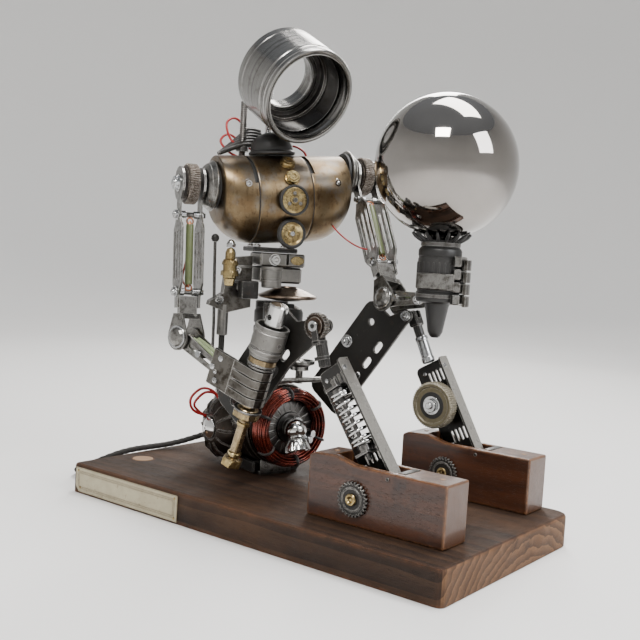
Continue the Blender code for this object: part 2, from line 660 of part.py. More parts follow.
def arm_plate_outline():
    """Shoulder disc, neck, slotted body and lower neck, hanging down from the shoulder along -Y."""
    half, r = 14.0, 16.0
    right = arc(0.0, 0.0, r, -70.0, 90.0, 8)
    right = [(5.5, -29.0)] + right
    body = [(5.0, -116.0), (6.0, -104.0), (half - 3.0, -98.0), (half, -93.0), (half, -42.0), (half - 4.0, -37.0)]
    one = body + right
    other = [(-x, y) for x, y in reversed(one)]
    return one + other[1:]


def cross_bar(radius, low, high, height, sides=10, bevel=0.0):
    """A round bar along X at a height."""
    bm = disc(radius, low, high, sides, bevel)
    bm.transform(Matrix.Translation(Vector((0.0, 0.0, height))) @ X_AXIS)
    return bm


def upper_arm(side, shoulder, outer):
    """Two slotted plates with spacers between them, and the shoulder bolt; X is the shoulder's axis."""
    holes = [slot(x, -90.0, -44.0, 2.0) for x in (-8.6, 0.0, 8.6)]
    plates = []
    for x in (-ARM_HALF - PLATE, ARM_HALF):
        bm = prism(arm_plate_outline(), x, x + PLATE, holes)
        bm.transform(SIDE_ON)
        plates.append(bm)
    node = finish(plates[0], f"{side}_upper_arm", steel(), None, shoulder)
    head = cross_bar(6.2, min(outer * 10.5, outer * 15.0), max(outer * 10.5, outer * 15.0), 0.0, 6)
    inner = cross_bar(6.2, min(-outer * 10.5, -outer * 12.4), max(-outer * 10.5, -outer * 12.4), 0.0, 12)
    add(node, plates[1], cross_bar(3.0, -10.5, 10.5, 0.0), cross_bar(2.6, -15.0, 15.0, -29.0),
        cross_bar(2.6, -15.0, 15.0, -101.0), head, inner)
    wheel = prism(gear_outline(19.0, 30, 0.9), -5.0, 5.0, [arc(0.0, 0.0, 3.5, 0.0, 324.0, 9)])
    finish(wheel, f"{side}_shoulder_wheel", material("brown_wheel", (0.12, 0.08, 0.06), 0.4, 0.7), X_AXIS, shoulder)


def elbow_fork(side, shoulder, twist):
    """A block held between the plates' lower necks, with two ears and the elbow bolt."""
    frame = at(0.0, 0.0, -UPPER_ARM, twist)
    node = finish(box((-12.0, -6.0, 17.0), (12.0, 6.0, 22.0)), f"{side}_elbow_fork", steel(), frame, shoulder)
    ears = []
    for x in (-12.0, 10.0):
        ear = prism(arc(0.0, 0.0, 12.5, -200.0, 20.0, 9) + [(6.0, 21.0), (-6.0, 21.0)], x, x + PLATE)
        ear.transform(SIDE_ON)
        ears.append(ear)
    tongue = placed(box((-8.4, -4.0, 20.0), (8.4, 4.0, 38.0)), at(0.0, 0.0, 0.0, -twist))
    bolt = lathe([(0.0, -16.5), (4.0, -16.5), (7.6, -15.0), (9.4, -12.9), (9.4, -11.5), (3.0, -11.5), (3.0, 11.5),
                  (6.0, 11.5), (6.0, 14.5), (0.0, 14.5)], 16)
    bolt.transform(X_AXIS)
    return add(node, *ears, tongue, bolt)


def forearm(side, elbow, long):
    """Two slotted bars with a spacer between them; -Y runs from the elbow to the wrist, X is the elbow's axis."""
    outline = arc(0.0, 0.0, 9.0, -30.0, 210.0, 9) + arc(0.0, -long, 5.5, -160.0, -20.0, 4)
    holes = [arc(0.0, 0.0, 3.5, 0.0, 324.0, 9), slot(0.0, -long + 10.0, -14.0, 2.0)]
    holes.append(arc(0.0, -long, 2.3, 0.0, 315.0, 7))
    flat = Matrix(((0, 0, 1, 0), (0, 1, 0, 0), (1, 0, 0, 0), (0, 0, 0, 1)))
    bars = []
    for x in (-8.5, 6.5):
        bm = prism(outline, x, x + PLATE, holes)
        bm.transform(flat)
        bars.append(bm)
    node = finish(bars[0], f"{side}_forearm", steel(), None, elbow)
    return add(node, bars[1], box((-7.5, -long + 27.0, -3.6), (7.5, -long + 31.0, 3.6)))


def finger_path(reach, radius, turn):
    """A finger seen from above: straight forward along -Y, then curling towards +X."""
    points = [(0.0, 0.0), (0.0, -reach)]
    points += arc(radius, -reach, radius, 180.0, 180.0 + turn, 7)[1:]
    return points


def strip(points, thick):
    """An outline of even thickness, on the -X side of a path."""
    outer = []
    for k, (x, y) in enumerate(points):
        x0, y0 = points[max(k - 1, 0)]
        x1, y1 = points[min(k + 1, len(points) - 1)]
        length = math.hypot(x1 - x0, y1 - y0)
        outer.append((x + thick * (y1 - y0) / length, y - thick * (x1 - x0) / length))
    return list(points) + outer[::-1]


def hand(side, wrist, level, grip, mirror, shape):
    """A palm plate pinned at the wrist, with four curled fingers that grip a post.

    grip is the fingers' straight length, their bend's radius and its angle; shape is how far the palm stands out
    beside the wrist, how far above it, its forward lean and half its height. level is the hand's upright frame.
    """
    palm_x, rise, lean, half = shape
    flip = Matrix.Scale(-1.0 if mirror else 1.0, 4, Vector((1.0, 0.0, 0.0)))
    lift = Matrix.Translation(Vector((palm_x, 0.0, rise))) @ Matrix.Rotation(math.radians(lean), 4, "X")
    palm = box((-3.0, -20.0, -half), (0.0, 7.0, half), 1.0)
    palm.transform(flip @ lift)
    node = finish(placed(palm, level), f"{side}_hand", steel(), None, wrist)
    fingers = []
    step = 2.0 * half / 4.0
    for k in range(4):
        low = -half + step * k + 0.5
        bm = prism(strip(finger_path(*grip), 3.2), low, low + step - 1.4)
        bm.transform(flip @ lift @ Matrix.Translation(Vector((0.4, -12.0, 0.0))))
        fingers.append(placed(bm, level))
    pin = cross_bar(1.8, palm_x - 3.6, 9.6, 0.0)
    pin.transform(flip)
    return add(node, *fingers, pin)


def arms():
    """Both arms down to their wrists; returns each wrist and its upright frame under it."""
    wrists = {}
    spots = (("right", -1.0, RIGHT_SHOULDER_Z, RIGHT_ARM_SWING, RIGHT_ELBOW_TWIST, RIGHT_FOREARM_PITCH, RIGHT_FOREARM),
             ("left", 1.0, LEFT_SHOULDER_Z, LEFT_ARM_SWING, LEFT_ELBOW_TWIST, LEFT_FOREARM_PITCH, LEFT_FOREARM))
    for side, sign, height, swing, twist, pitch, long in spots:
        place = torso_point(TORSO_X + sign * SHOULDER_REACH, 0.0, height)
        shoulder = joint_frame(f"{side}_shoulder_axis", at(*place, TORSO_YAW, -swing))
        upper_arm(side, shoulder, sign)
        elbow_fork(side, shoulder, twist)
        straight = at(0.0, 0.0, -UPPER_ARM, twist) @ Matrix.Rotation(math.radians(swing - pitch), 4, "X")
        elbow = joint_frame(f"{side}_elbow_axis", straight, shoulder)
        forearm(side, elbow, long)
        bpy.context.view_layer.update()
        tip = elbow.matrix_world @ (Vector((0.0, -long, 0.0)) * MM) / MM
        wrist = joint_frame(f"{side}_wrist_axis", at(0.0, -long, 0.0), elbow)
        bpy.context.view_layer.update()
        wrists[side] = (wrist, wrist.matrix_world.inverted() @ at(*tip, TORSO_YAW + twist))
    return wrists


def piston(wrist):
    """What the right hand holds: a piston with its pin, on a brass rod."""
    frame = wrist.matrix_world.inverted() @ along((-63.0, 41.6, 55.4), (-63.0, -1.3, 191.6))
    rod = [(0.0, -7.0), (7.6, -7.0), (8.2, -5.6), (8.2, 1.0), (4.8, 2.6), (4.8, 38.0), (9.0, 40.0), (12.0, 42.0),
           (12.0, 47.0), (9.4, 50.0), (7.2, 52.0), (7.2, 92.0), (12.5, 93.5), (12.5, 98.4), (0.0, 98.4)]
    finish(lathe(rod, 20), "piston_rod", brass(), frame, wrist)
    crown = [(0.0, 98.8), (12.6, 98.8), (13.4, 100.0), (13.4, 103.0), (15.0, 103.0), (15.0, 107.0), (14.0, 107.0),
             (14.0, 109.0), (15.0, 109.0), (15.0, 128.0), (13.2, 128.0), (13.2, 119.0), (0.0, 119.0)]
    finish(lathe(crown, 24), "piston_crown", cast_alloy(), frame, wrist)
    pin = [(0.0, 119.4), (8.0, 119.4), (8.6, 121.0), (8.6, 146.0), (7.8, 147.4), (0.0, 147.4)]
    node = finish(lathe(pin, 20), "piston_pin", chrome(), frame, wrist)
    bore = disc(2.6, -12.0, 12.0, 12)
    bore.transform(Matrix.Translation(Vector((0.0, 0.0, 136.0))) @ X_AXIS)
    cut(node, bore)


def lamp(wrist):
    """The lampholder in the left hand and the globe bulb that screws into it."""
    into = wrist.matrix_world.inverted()
    holder = [(0.0, 174.0), (4.0, 174.5), (6.5, 178.0), (11.0, 204.0), (19.0, 206.0), (19.0, 251.0), (16.8, 253.0),
              (16.8, 259.0), (22.0, 261.4), (26.0, 265.4), (25.4, 266.2), (20.0, 263.6), (15.8, 260.2), (15.4, 240.0),
              (0.0, 240.0)]
    finish(lathe(holder, 24), "lampholder", black_plastic(), into @ at(LAMP.x, LAMP.y, 0.0), wrist)
    turn = joint_frame("globe_axis", into @ at(LAMP.x, LAMP.y, GLOBE_Z), wrist)
    outer, inner = [], []
    r, wall, neck = GLOBE_RADIUS, 1.0, 14.0
    start = -90.0 + math.degrees(math.asin(neck / r))
    steps = 14
    for k in range(steps):
        a = math.radians(start + (90.0 - start) * k / steps)
        outer.append((r * math.cos(a), r * math.sin(a)))
        inner.append(((r - wall) * math.cos(a), (r - wall) * math.sin(a)))
    bottom = 241.0 - GLOBE_Z
    profile = [(0.0, r)] + outer[::-1] + [(neck, bottom), (neck - wall, bottom)] + inner + [(0.0, r - wall)]
    finish(lathe(profile, 32), "globe_bulb", mirror_glass(), None, turn)


# ---------------------------------------------------------------- cord

COIL = Vector((157.0, -70.0))
COIL_TURN = 32.0                # mean radius of a turn
PLUG = Vector((181.0, -72.0, 24.4))    # where the cord enters the plug, which lies on the coil
CORD_ROUTE = ((32.3, 153.8, 48.0), (34.9, 161.8, 47.6), (36.2, 171.5, 45.0), (31.5, 182.5, 40.2), (19.5, 191.0, 35.2),
              (2.0, 196.8, 32.4), (-18.0, 201.8, 31.8), (-36.0, 206.6, 31.0), (-52.0, 211.3, 28.0),
              (-67.5, 219.0, 21.5), (-77.5, 233.0, 13.0), (-75.0, 250.5, 5.8), (-59.0, 261.5, 3.4),
              (-28.0, 263.0, 3.3), (60.0, 256.0, 3.3), (110.0, 245.0, 3.3), (136.0, 224.0, 3.3), (145.0, 190.0, 3.3),
              (144.0, 130.0, 3.3), (134.0, 60.0, 3.3), (122.0, 0.0, 3.3), (119.0, -30.0, 3.3), (119.0, -48.2, 3.3))


def smooth_route(route, spacing):
    """A smooth curve through the route's points, as points an even distance apart."""
    spots = [Vector(p) for p in route]
    fine = []
    for k in range(len(spots) - 1):
        before, start, end, after = spots[max(k - 1, 0)], spots[k], spots[k + 1], spots[min(k + 2, len(spots) - 1)]
        for n in range(40):
            t = n / 40.0
            fine.append(0.5 * ((2.0 * start) + (end - before) * t + (2.0 * before - 5.0 * start + 4.0 * end - after)
                               * t * t + (3.0 * start - before - 3.0 * end + after) * t ** 3))
    fine.append(spots[-1])
    total = sum((b - a).length for a, b in zip(fine, fine[1:]))
    count = round(total / spacing)
    picked, run, want = [fine[0]], 0.0, total / count
    for a, b in zip(fine, fine[1:]):
        run += (b - a).length
        if run >= want * len(picked) - 0.001 and len(picked) < count:
            picked.append(b)
    picked.append(fine[-1])
    return picked


def cord_tube(name, points):
    """A round tube along points, closed at both ends."""
    curve = bpy.data.curves.new(name, "CURVE")
    curve.dimensions = "3D"
    curve.bevel_depth = CORD_RADIUS * MM
    curve.bevel_resolution = 2
    curve.use_fill_caps = True
    spline = curve.splines.new("POLY")
    spline.points.add(len(points) - 1)
    for spot, place in zip(spline.points, points):
        spot.co = (*(place * MM), 1.0)
    curve.materials.append(cord_cloth())
    node = bpy.data.objects.new(name, curve)
    bpy.context.scene.collection.objects.link(node)
    return node


def cord():
    """The lead runs from the back of the motor over the plank's back edge to a coil beside the plank."""
    gland = [(0.0, 58.8), (5.4, 58.8), (5.4, 63.0), (4.2, 64.0), (4.2, 70.6), (0.0, 70.6)]
    finish(lathe(gland, 20), "cord_gland", black_plastic(), motor_frame() @ at(-6.0, 0.0, 48.0) @ Y_AXIS)
    cord_tube("cord_run", smooth_route(CORD_ROUTE, 13.0))
    ring = []
    step = 2.0 * CORD_RADIUS
    for row in range(3):
        ring += arc(COIL_TURN + step, CORD_RADIUS + 5.6 * row, CORD_RADIUS, -60.0, 60.0, 2)
    for row in (2, 1, 0):
        ring += arc(COIL_TURN - step, CORD_RADIUS + 5.6 * row, CORD_RADIUS, 120.0, 240.0, 2)
    finish(lathe(ring, 32), "cord_coil", cord_cloth(), at(COIL.x, COIL.y, 0.3))
    frame = at(*PLUG)
    body = finish(box((-12.5, 8.0, -6.5), (12.5, 34.0, 6.5), 3.0, 2), "cord_plug", black_plastic(), frame)
    pins = []
    for x in (-9.2, 9.2):
        bm = disc(2.0, 33.0, 52.0, 12, 0.6)
        bm.transform(Matrix.Translation(Vector((x, 0.0, 0.0))) @ Y_AXIS)
        pins.append(bm)
    tail = disc(3.6, 0.0, 9.0, 14)
    tail.transform(Y_AXIS)
    add(body, *pins, tail)


def clear_scene():
    for old in list(bpy.data.objects):
        bpy.data.objects.remove(old, do_unlink=True)


def main():
    clear_scene()
    plank()
    name_plate()
    legs()
    shin_wheel()
    motor()
    pinion()
    hip_pulley()
    waist()
    torso()
    chest_wheel()
    neck_and_head()
    wrists = arms()
    hand("right", *wrists["right"], (27.6, 9.0, 130.0), False, (-10.6, 4.0, 17.5, 17.0))
    hand("left", *wrists["left"], (13.0, 26.0, 80.0), True, (-11.0, 18.0, 0.0, 21.0))
    piston(wrists["right"][0])
    lamp(wrists["left"][0])
    cord()


main()
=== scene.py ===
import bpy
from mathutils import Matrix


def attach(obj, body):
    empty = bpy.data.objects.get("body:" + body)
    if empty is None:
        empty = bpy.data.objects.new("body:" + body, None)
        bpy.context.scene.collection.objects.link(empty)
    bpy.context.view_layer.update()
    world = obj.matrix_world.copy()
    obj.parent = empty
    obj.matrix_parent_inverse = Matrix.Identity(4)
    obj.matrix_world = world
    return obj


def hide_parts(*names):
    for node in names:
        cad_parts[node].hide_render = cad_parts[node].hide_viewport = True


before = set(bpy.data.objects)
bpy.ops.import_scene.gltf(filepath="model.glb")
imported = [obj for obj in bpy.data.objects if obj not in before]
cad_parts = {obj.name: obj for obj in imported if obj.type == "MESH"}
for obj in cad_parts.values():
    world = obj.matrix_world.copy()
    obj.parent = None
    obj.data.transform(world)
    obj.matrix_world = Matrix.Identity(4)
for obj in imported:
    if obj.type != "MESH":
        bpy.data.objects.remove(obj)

"""The looks of the seated robot lamp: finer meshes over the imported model, materials, lights and the camera.

The robot faces -Y, its left side is +X, and Z is up. The origin is under the middle of the plank.
Sizes are in millimetres and MM turns them into metres.
"""
import random
from math import asin, copysign, cos, degrees, pi, radians, sin, tau

import bmesh
import bpy
from mathutils import Matrix, Vector

MM = 0.001
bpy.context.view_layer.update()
SEED = 7

# places shared with the model
BODY = Vector((16, 84, 0))
MOTOR_YAW = -18
TORSO_YAW = -28
MOTOR = Vector((8, 0, 76))
MOTOR_RADIUS = 40
TORSO = Vector((9, 0, 292))
TORSO_TILT = 5
TORSO_TOP = 42                        # the barrel's top line and its greatest radius
TORSO_HALF = 64
TORSO_PARTS = (("right", -64, -34.3), ("centre", -33.7, 19.7), ("left", 20.3, 64))
SEAM_SLOTS = {"right": (-37.6, -34, 102, 160), "left": (20, 23.6, 98, 146)}   # from, to, two angles
SLOT_DEPTH = 2.4
SHOULDER_REACH = 89.3
UPPER_ARM = 143
HEAD_REAR = Vector((14, 78, 411))
HEAD_HINGE = Vector((19.5, 99, 373))
HEAD_YAW = -15
HEAD_PITCH = -29
HEAD_RADIUS = 45.5
HEAD_LENGTH = 58
LAMP = Vector((40, -96, 0))
GLOBE_Z = 324
GLOBE_RADIUS = 62.5
DECK = 28.3
FEET = {"right": Vector((-75.1, -184, DECK)), "left": Vector((67.1, -182.4, DECK))}
FOOT_SIZE = Vector((33.4, 130, 48.6))
ARMS = {"right": {"sign": -1, "height": 299.5, "swing": 5, "twist": 28, "pitch": -25, "forearm": 59},
        "left": {"sign": 1, "height": 322, "swing": 33, "twist": 18.7, "pitch": 6, "forearm": 43}}

# the stage
FLOOR_COLOR = (0.78, 0.775, 0.765, 1)
WALL_RADIUS, WALL_BEND, WALL_HEIGHT = 3, 1.3, 3       # metres
LIGHT_AIM = Vector((0, 0, 0.2))
LIGHTS = (("key", (-1.1, -0.5, 1.6), 0.6, 0.45, 34, (1, 0.975, 0.94)),      # place, width, height, watts, tint
          ("top", (0.45, -0.1, 1.75), 1.2, 0.6, 36, (1, 0.98, 0.96)),
          ("fill", (0.15, -1.5, 1.15), 0.7, 0.8, 19, (0.97, 0.98, 1)),
          ("rim", (1.3, 0.75, 1.1), 0.35, 1.1, 16, (1, 0.97, 0.93)))
CAMERA_PLACE = Vector((-663.8, -513.3, 239.3))
CAMERA_AZIMUTH, CAMERA_RISE, CAMERA_ROLL = (radians(a) for a in (-52.2, 3.93, 3.41))
CAMERA_LENS, CAMERA_SENSOR = 52, 36

# the lead
CORD_RADIUS = 3
CORD_ROUTE = ((32.3, 153.8, 48), (34.9, 161.8, 47.6), (36.2, 171.5, 45), (31.5, 182.5, 40.2), (19.5, 191, 35.2),
              (2, 196.8, 32.4), (-18, 201.8, 31.8), (-36, 206.6, 31), (-52, 211.3, 28), (-67.5, 219, 21.5),
              (-77.5, 233, 13), (-75, 250.5, 5.8), (-59, 261.5, 3.4), (-28, 263, 3.3), (60, 256, 3.3),
              (110, 245, 3.3), (136, 224, 3.3), (145, 190, 3.3), (144, 130, 3.3), (134, 60, 3.3), (122, 0, 3.3),
              (119, -30, 3.3), (119, -50, 3.3))
COIL = Vector((157, -70))
COIL_LAYERS = ((0, 38, 3.3), (1.75, 38, 13.8), (2, 32, 13.8), (3.75, 32, 3.3), (4, 26, 3.3),
               (5.25, 26, 10.8))      # turns so far, radius, height
LEAD_TURN = 24                        # from the coil up to the plug
PLUG = Vector((181, -72, 24.4))


# ---------------------------------------------------------------- frames

def at(x, y, z, yaw=0, pitch=0, roll=0):
    """A frame at a place, turned about Z by yaw, then about its own X by pitch and its own Y by roll."""
    turn = Matrix.Rotation(radians(yaw), 4, "Z")
    turn = turn @ Matrix.Rotation(radians(pitch), 4, "X")
    turn = turn @ Matrix.Rotation(radians(roll), 4, "Y")
    return Matrix.Translation(Vector((x, y, z)) * MM) @ turn


def along(start, end):
    """A frame at start whose Z runs to end."""
    axis = (Vector(end) - Vector(start)).normalized()
    return Matrix.Translation(Vector(start) * MM) @ axis.to_track_quat("Z", "Y").to_matrix().to_4x4()


X_AXIS = Matrix.Rotation(radians(90), 4, "Y")      # turns Z onto X
Y_AXIS = Matrix.Rotation(radians(-90), 4, "X")     # turns Z onto Y
X_BACK = X_AXIS.inverted()                         # turns Z onto -X
Y_BACK = Y_AXIS.inverted()                         # turns Z onto -Y, the robot's front
SIDE_ON = Matrix(((0, 0, 1, 0), (1, 0, 0, 0), (0, 1, 0, 0), (0, 0, 0, 1)))      # stands an XY outline in YZ
SIDE_OUT = Matrix(((0, 0, -1, 0), (1, 0, 0, 0), (0, 1, 0, 0), (0, 0, 0, 1)))    # the same, thickening to -X
RIB_ON = Matrix(((0, 1, 0, 0), (0, 0, 1, 0), (1, 0, 0, 0), (0, 0, 0, 1)))       # stands an XY outline in ZX
HERE = Matrix.Identity(4)

MOTOR_FRAME = at(BODY.x, BODY.y, 0, MOTOR_YAW)
MOTOR_AXIS = MOTOR_FRAME @ at(*MOTOR) @ Y_AXIS
TORSO_FRAME = at(BODY.x, BODY.y, 0, TORSO_YAW)
BARREL = TORSO_FRAME @ at(*TORSO, 0, 0, -TORSO_TILT)


def sideways(sign):
    """Turns Z onto X, or onto -X if sign is below 0."""
    return X_AXIS if sign > 0 else X_BACK


def spin(angle):
    """A turn about Z by an angle in radians."""
    return Matrix.Rotation(angle, 4, "Z")


def point(place, x, y, z):
    """A point given in a frame's own millimetres, in the model's millimetres."""
    return place @ (Vector((x, y, z)) * MM) / MM


def shin_frame(x, foot, top):
    """Z runs up the shin along the front face of its channel, X is the robot's left, -Y is forward."""
    base = Vector((x, *foot))
    rise = (Vector((x, *top)) - base).normalized()
    left = Vector((1, 0, 0))
    back = rise.cross(left)
    return Matrix.Translation(base * MM) @ Matrix((left, back, rise)).transposed().to_4x4()


RIGHT_SHIN = shin_frame(-58, (-121.9, 82.2), (-69, 157.8))
LEFT_SHIN = shin_frame(84, (-121.2, 80.7), (-80.4, 152.9))


def arm_frames(side):
    """The frames of shoulder, elbow and wrist, whose X is the joint's axis, and the hand's upright frame."""
    arm = ARMS[side]
    place = point(TORSO_FRAME, TORSO.x + arm["sign"] * SHOULDER_REACH, 0, arm["height"])
    shoulder = at(*place, TORSO_YAW, -arm["swing"])
    bend = Matrix.Rotation(radians(arm["swing"] - arm["pitch"]), 4, "X")
    elbow = shoulder @ at(0, 0, -UPPER_ARM, arm["twist"]) @ bend
    wrist = elbow @ at(0, -arm["forearm"], 0)
    tip = wrist.translation / MM
    return shoulder, elbow, wrist, at(*tip, TORSO_YAW + arm["twist"])


def head_frame():
    """The head ring's frame: Z runs from its back to its front rim."""
    out = Matrix.Rotation(radians(HEAD_YAW), 4, "Z") @ Matrix.Rotation(radians(-HEAD_PITCH), 4, "X")
    hinge = out.inverted() @ (HEAD_HINGE - HEAD_REAR)
    return Matrix.Translation(HEAD_HINGE * MM) @ out @ Matrix.Translation(-hinge * MM) @ Y_BACK


# ---------------------------------------------------------------- meshes, in millimetres

def loft(rings, closed=False, cap=True):
    """Faces between rings of points; closed joins the last ring to the first, cap closes both ends."""
    bm = bmesh.new()
    rows = [[bm.verts.new(p) for p in ring] for ring in rings]
    strips = list(zip(rows, rows[1:]))
    if closed:
        strips.append((rows[-1], rows[0]))
    for low, high in strips:
        for k in range(max(len(low), len(high))):
            after = k + 1
            corners = [low[k % len(low)], low[after % len(low)], high[after % len(high)], high[k % len(high)]]
            unique = list(dict.fromkeys(corners))
            if len(unique) > 2:
                bm.faces.new(unique)
    if cap and not closed:
        for ring in (rows[0], rows[-1]):
            if len(ring) > 2:
                bm.faces.new(ring)
    return bm


def lathe(profile, sides=48):
    """A turned solid about Z: profile lists (radius, z), a closed ring if it never reaches radius 0."""
    rings = []
    for radius, z in profile:
        count = 1 if radius == 0 else sides
        angles = [tau * k / sides for k in range(count)]
        rings.append([(radius * cos(a), radius * sin(a), z) for a in angles])
    return loft(rings, closed=profile[0][0] > 0, cap=False)


def disc(radius, low, high, sides=32, ease=0.4):
    """A cylinder with both rims eased."""
    return lathe([(0, low), (radius - ease, low), (radius, low + ease), (radius, high - ease),
                  (radius - ease, high), (0, high)], sides)


def washer(outer, inner, low, high, sides=32):
    """A flat ring with its outer rims eased."""
    ease = min(0.25, (high - low) / 4)
    return lathe([(inner, low), (outer - ease, low), (outer, low + ease), (outer, high - ease),
                  (outer - ease, high), (inner, high)], sides)


def arc(centre, radius, end, steps):
    """Points of an arc from 0 to end degrees, about a point on the X axis."""
    angles = [radians(end * k / steps) for k in range(steps + 1)]
    return [(centre + radius * cos(a), radius * sin(a)) for a in angles]


def prism(outline, low, high, holes=()):
    """An outline in XY, with holes, extruded from low to high."""
    bm = bmesh.new()
    edges = []
    for loop in (outline, *holes):
        verts = [bm.verts.new((x, y, low)) for x, y in loop]
        edges += [bm.edges.new((verts[k - 1], verts[k])) for k in range(len(verts))]
    bmesh.ops.triangle_fill(bm, edges=edges, use_beauty=True)
    made = bmesh.ops.extrude_face_region(bm, geom=bm.faces[:])
    top = [v for v in made["geom"] if isinstance(v, bmesh.types.BMVert)]
    bmesh.ops.translate(bm, vec=(0, 0, high - low), verts=top)
    return bm


def box(low, high, ease=0.5):
    """A block between two corners, with rounded edges."""
    bm = bmesh.new()
    bmesh.ops.create_cube(bm, size=1)
    bmesh.ops.scale(bm, vec=Vector(high) - Vector(low), verts=bm.verts)
    bmesh.ops.translate(bm, vec=(Vector(high) + Vector(low)) / 2, verts=bm.verts)
    bmesh.ops.bevel(bm, geom=bm.edges[:], offset=ease, segments=2, affect="EDGES", profile=0.5)
    return bm


def tube(points, radius, sides=10, closed=False):
    """A round bar along points; radius is one number, or one for each point."""
    spots = [Vector(p) for p in points]
    radii = radius if isinstance(radius, (list, tuple)) else [radius] * len(spots)
    rings = []
    side = None
    for k, spot in enumerate(spots):
        before = spots[k - 1] if closed or k else spots[0]
        after = spots[(k + 1) % len(spots)] if closed or k + 1 < len(spots) else spots[-1]
        ahead = (after - before).normalized()
        side = ahead.orthogonal() if side is None else side - ahead * side.dot(ahead)
        side.normalize()
        other = ahead.cross(side)
        angles = [tau * n / sides for n in range(sides)]
        rings.append([spot + radii[k] * (side * cos(a) + other * sin(a)) for a in angles])
    return loft(rings, closed=closed)


def smooth_route(route, steps=8):
    """A smooth curve through the route's points."""
    spots = [Vector(p) for p in route]
    fine = []
    for k in range(len(spots) - 1):
        before, start, end = spots[max(k - 1, 0)], spots[k], spots[k + 1]
        after = spots[min(k + 2, len(spots) - 1)]
        for n in range(steps):
            t = n / steps
            square = 2 * before - 5 * start + 4 * end - after
            cube = 3 * start - before - 3 * end + after
            fine.append(0.5 * (2 * start + (end - before) * t + square * t * t + cube * t ** 3))
    fine.append(spots[-1])
    return fine


def helix(radius, low, high, turns, steps, centre):
    """Points of a coil about a line parallel to Z, whose end turns lie flat."""
    points = []
    count = int(turns * steps)
    for k in range(count + 1):
        t = k / count
        a = tau * k / steps
        eased = min(max((t * turns - 1) / (turns - 2), 0), 1)
        z = low + (high - low) * (0.06 * t + 0.94 * eased)
        points.append((centre[0] + radius * cos(a), centre[1] + radius * sin(a), z))
    return points


def threaded(radius, low, high, pitch, depth, sides):
    """A screw thread about Z with pointed crests."""
    rings = []
    steps = int((high - low) / (pitch / 4))
    for k in range(steps + 1):
        z = low + (high - low) * k / steps
        ring = []
        for n in range(sides):
            a = tau * n / sides
            phase = (z / pitch - n / sides) % 1
            r = radius - depth * abs(2 * phase - 1)
            ring.append((r * cos(a), r * sin(a), z))
        rings.append(ring)
    return loft(rings)


def gear(radius, teeth, depth, low, high, ease=0.6, hole=0):
    """A toothed wheel about Z whose tooth ends are chamfered."""
    def ring(grow, z):
        points = []
        for k in range(teeth):
            for share, r in ((0.05, radius - depth), (0.3, radius), (0.6, radius), (0.85, radius - depth)):
                a = tau * (k + share) / teeth
                points.append(((r + grow) * cos(a), (r + grow) * sin(a), z))
        return points

    rings = [ring(-ease, low), ring(0, low + ease), ring(0, high - ease), ring(-ease, high)]
    if hole:
        count = len(rings[0])
        angles = [tau * k / count for k in range(count)]
        inside = [[(hole * cos(a), hole * sin(a), z) for a in angles] for z in (high, low)]
        return loft(rings + inside, closed=True)
    return loft(rings)


def hexagon(across, low, high):
    """A nut or bolt head about Z, with its upper corners turned off."""
    flat, chamfer, sides = across / 2, 0.16, 24

    def ring(z, limit):
        points = []
        for k in range(sides):
            a = tau * k / sides
            off = (degrees(a) + 30) % 60 - 30
            r = min(flat / cos(radians(off)), limit)
            points.append((r * cos(a), r * sin(a), z))
        return points

    drop = chamfer * flat
    return loft([ring(low, across), ring(high - drop, across), ring(high, flat)])


def bolt(across, height, plate=0, stud=0, socket=0):
    """Washer, hexagon, stud end and socket rim standing on z = 0, as a list of shapes."""
    base = 0
    shapes = []
    if plate:
        shapes.append(disc(plate, 0, 0.9, 28, 0.2))
        base = 0.9
    shapes.append(hexagon(across, base, base + height))
    if stud:
        r = across * 0.28
        shapes.append(lathe([(0, base), (r, base), (r, base + height + stud - 0.8),
                             (r - 0.8, base + height + stud), (0, base + height + stud)], 16))
    if socket:
        shapes.append(washer(across * 0.36, socket, base + height, base + height + 0.7, 18))
    return shapes


def acorn(across, height):
    """A domed cap nut standing on z = 0."""
    flat = across / 2
    half = height * 0.45
    dome = [(0, half)] + [(flat * 0.94 * cos(a), half + (height - half) * sin(a))
                          for a in (0, 0.3, 0.6, 0.9, 1.2)] + [(0, height)]
    return [hexagon(across, 0, half + 0.4), lathe(dome, 20)]


def pairs(shapes):
    """(shape, place) pairs from a list whose bare shapes stay where they were made."""
    return [item if isinstance(item, tuple) else (item, HERE) for item in shapes]


def moved(shapes, place):
    """The same shapes, moved by a frame."""
    return [(bm, place @ own) for bm, own in pairs(shapes)]


def gather(shapes):
    """One mesh from a list of shapes."""
    whole = bmesh.new()
    for bm, place in pairs(shapes):
        scaled = place.copy()
        scaled.translation = place.translation / MM
        bm.transform(scaled)
        bmesh.ops.recalc_face_normals(bm, faces=bm.faces)
        mesh = bpy.data.meshes.new("part")
        bm.to_mesh(mesh)
        bm.free()
        whole.from_mesh(mesh)
        bpy.data.meshes.remove(mesh)
    return whole


def piece(name, shape, look, place=HERE, body="base", replaces=(), sharp=35):
    """Makes an object in place, riding on its body, from one shape or a list of shapes in millimetres.

    look is a name in LOOK, which is then the slot too, or a material that comes with its slot.
    """
    bm = gather(shape) if isinstance(shape, list) else shape
    bmesh.ops.recalc_face_normals(bm, faces=bm.faces)
    bmesh.ops.scale(bm, vec=(MM, MM, MM), verts=bm.verts)
    mesh = bpy.data.meshes.new(name)
    bm.to_mesh(mesh)
    bm.free()
    mesh.shade_smooth()
    mesh.set_sharp_from_angle(angle=radians(sharp))
    mesh.materials.append(LOOK[look] if isinstance(look, str) else look)
    made = bpy.data.objects.new(name, mesh)
    bpy.context.scene.collection.objects.link(made)
    made.matrix_world = place
    if replaces:
        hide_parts(*replaces)
    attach(made, body)
    return made


# ---------------------------------------------------------------- materials

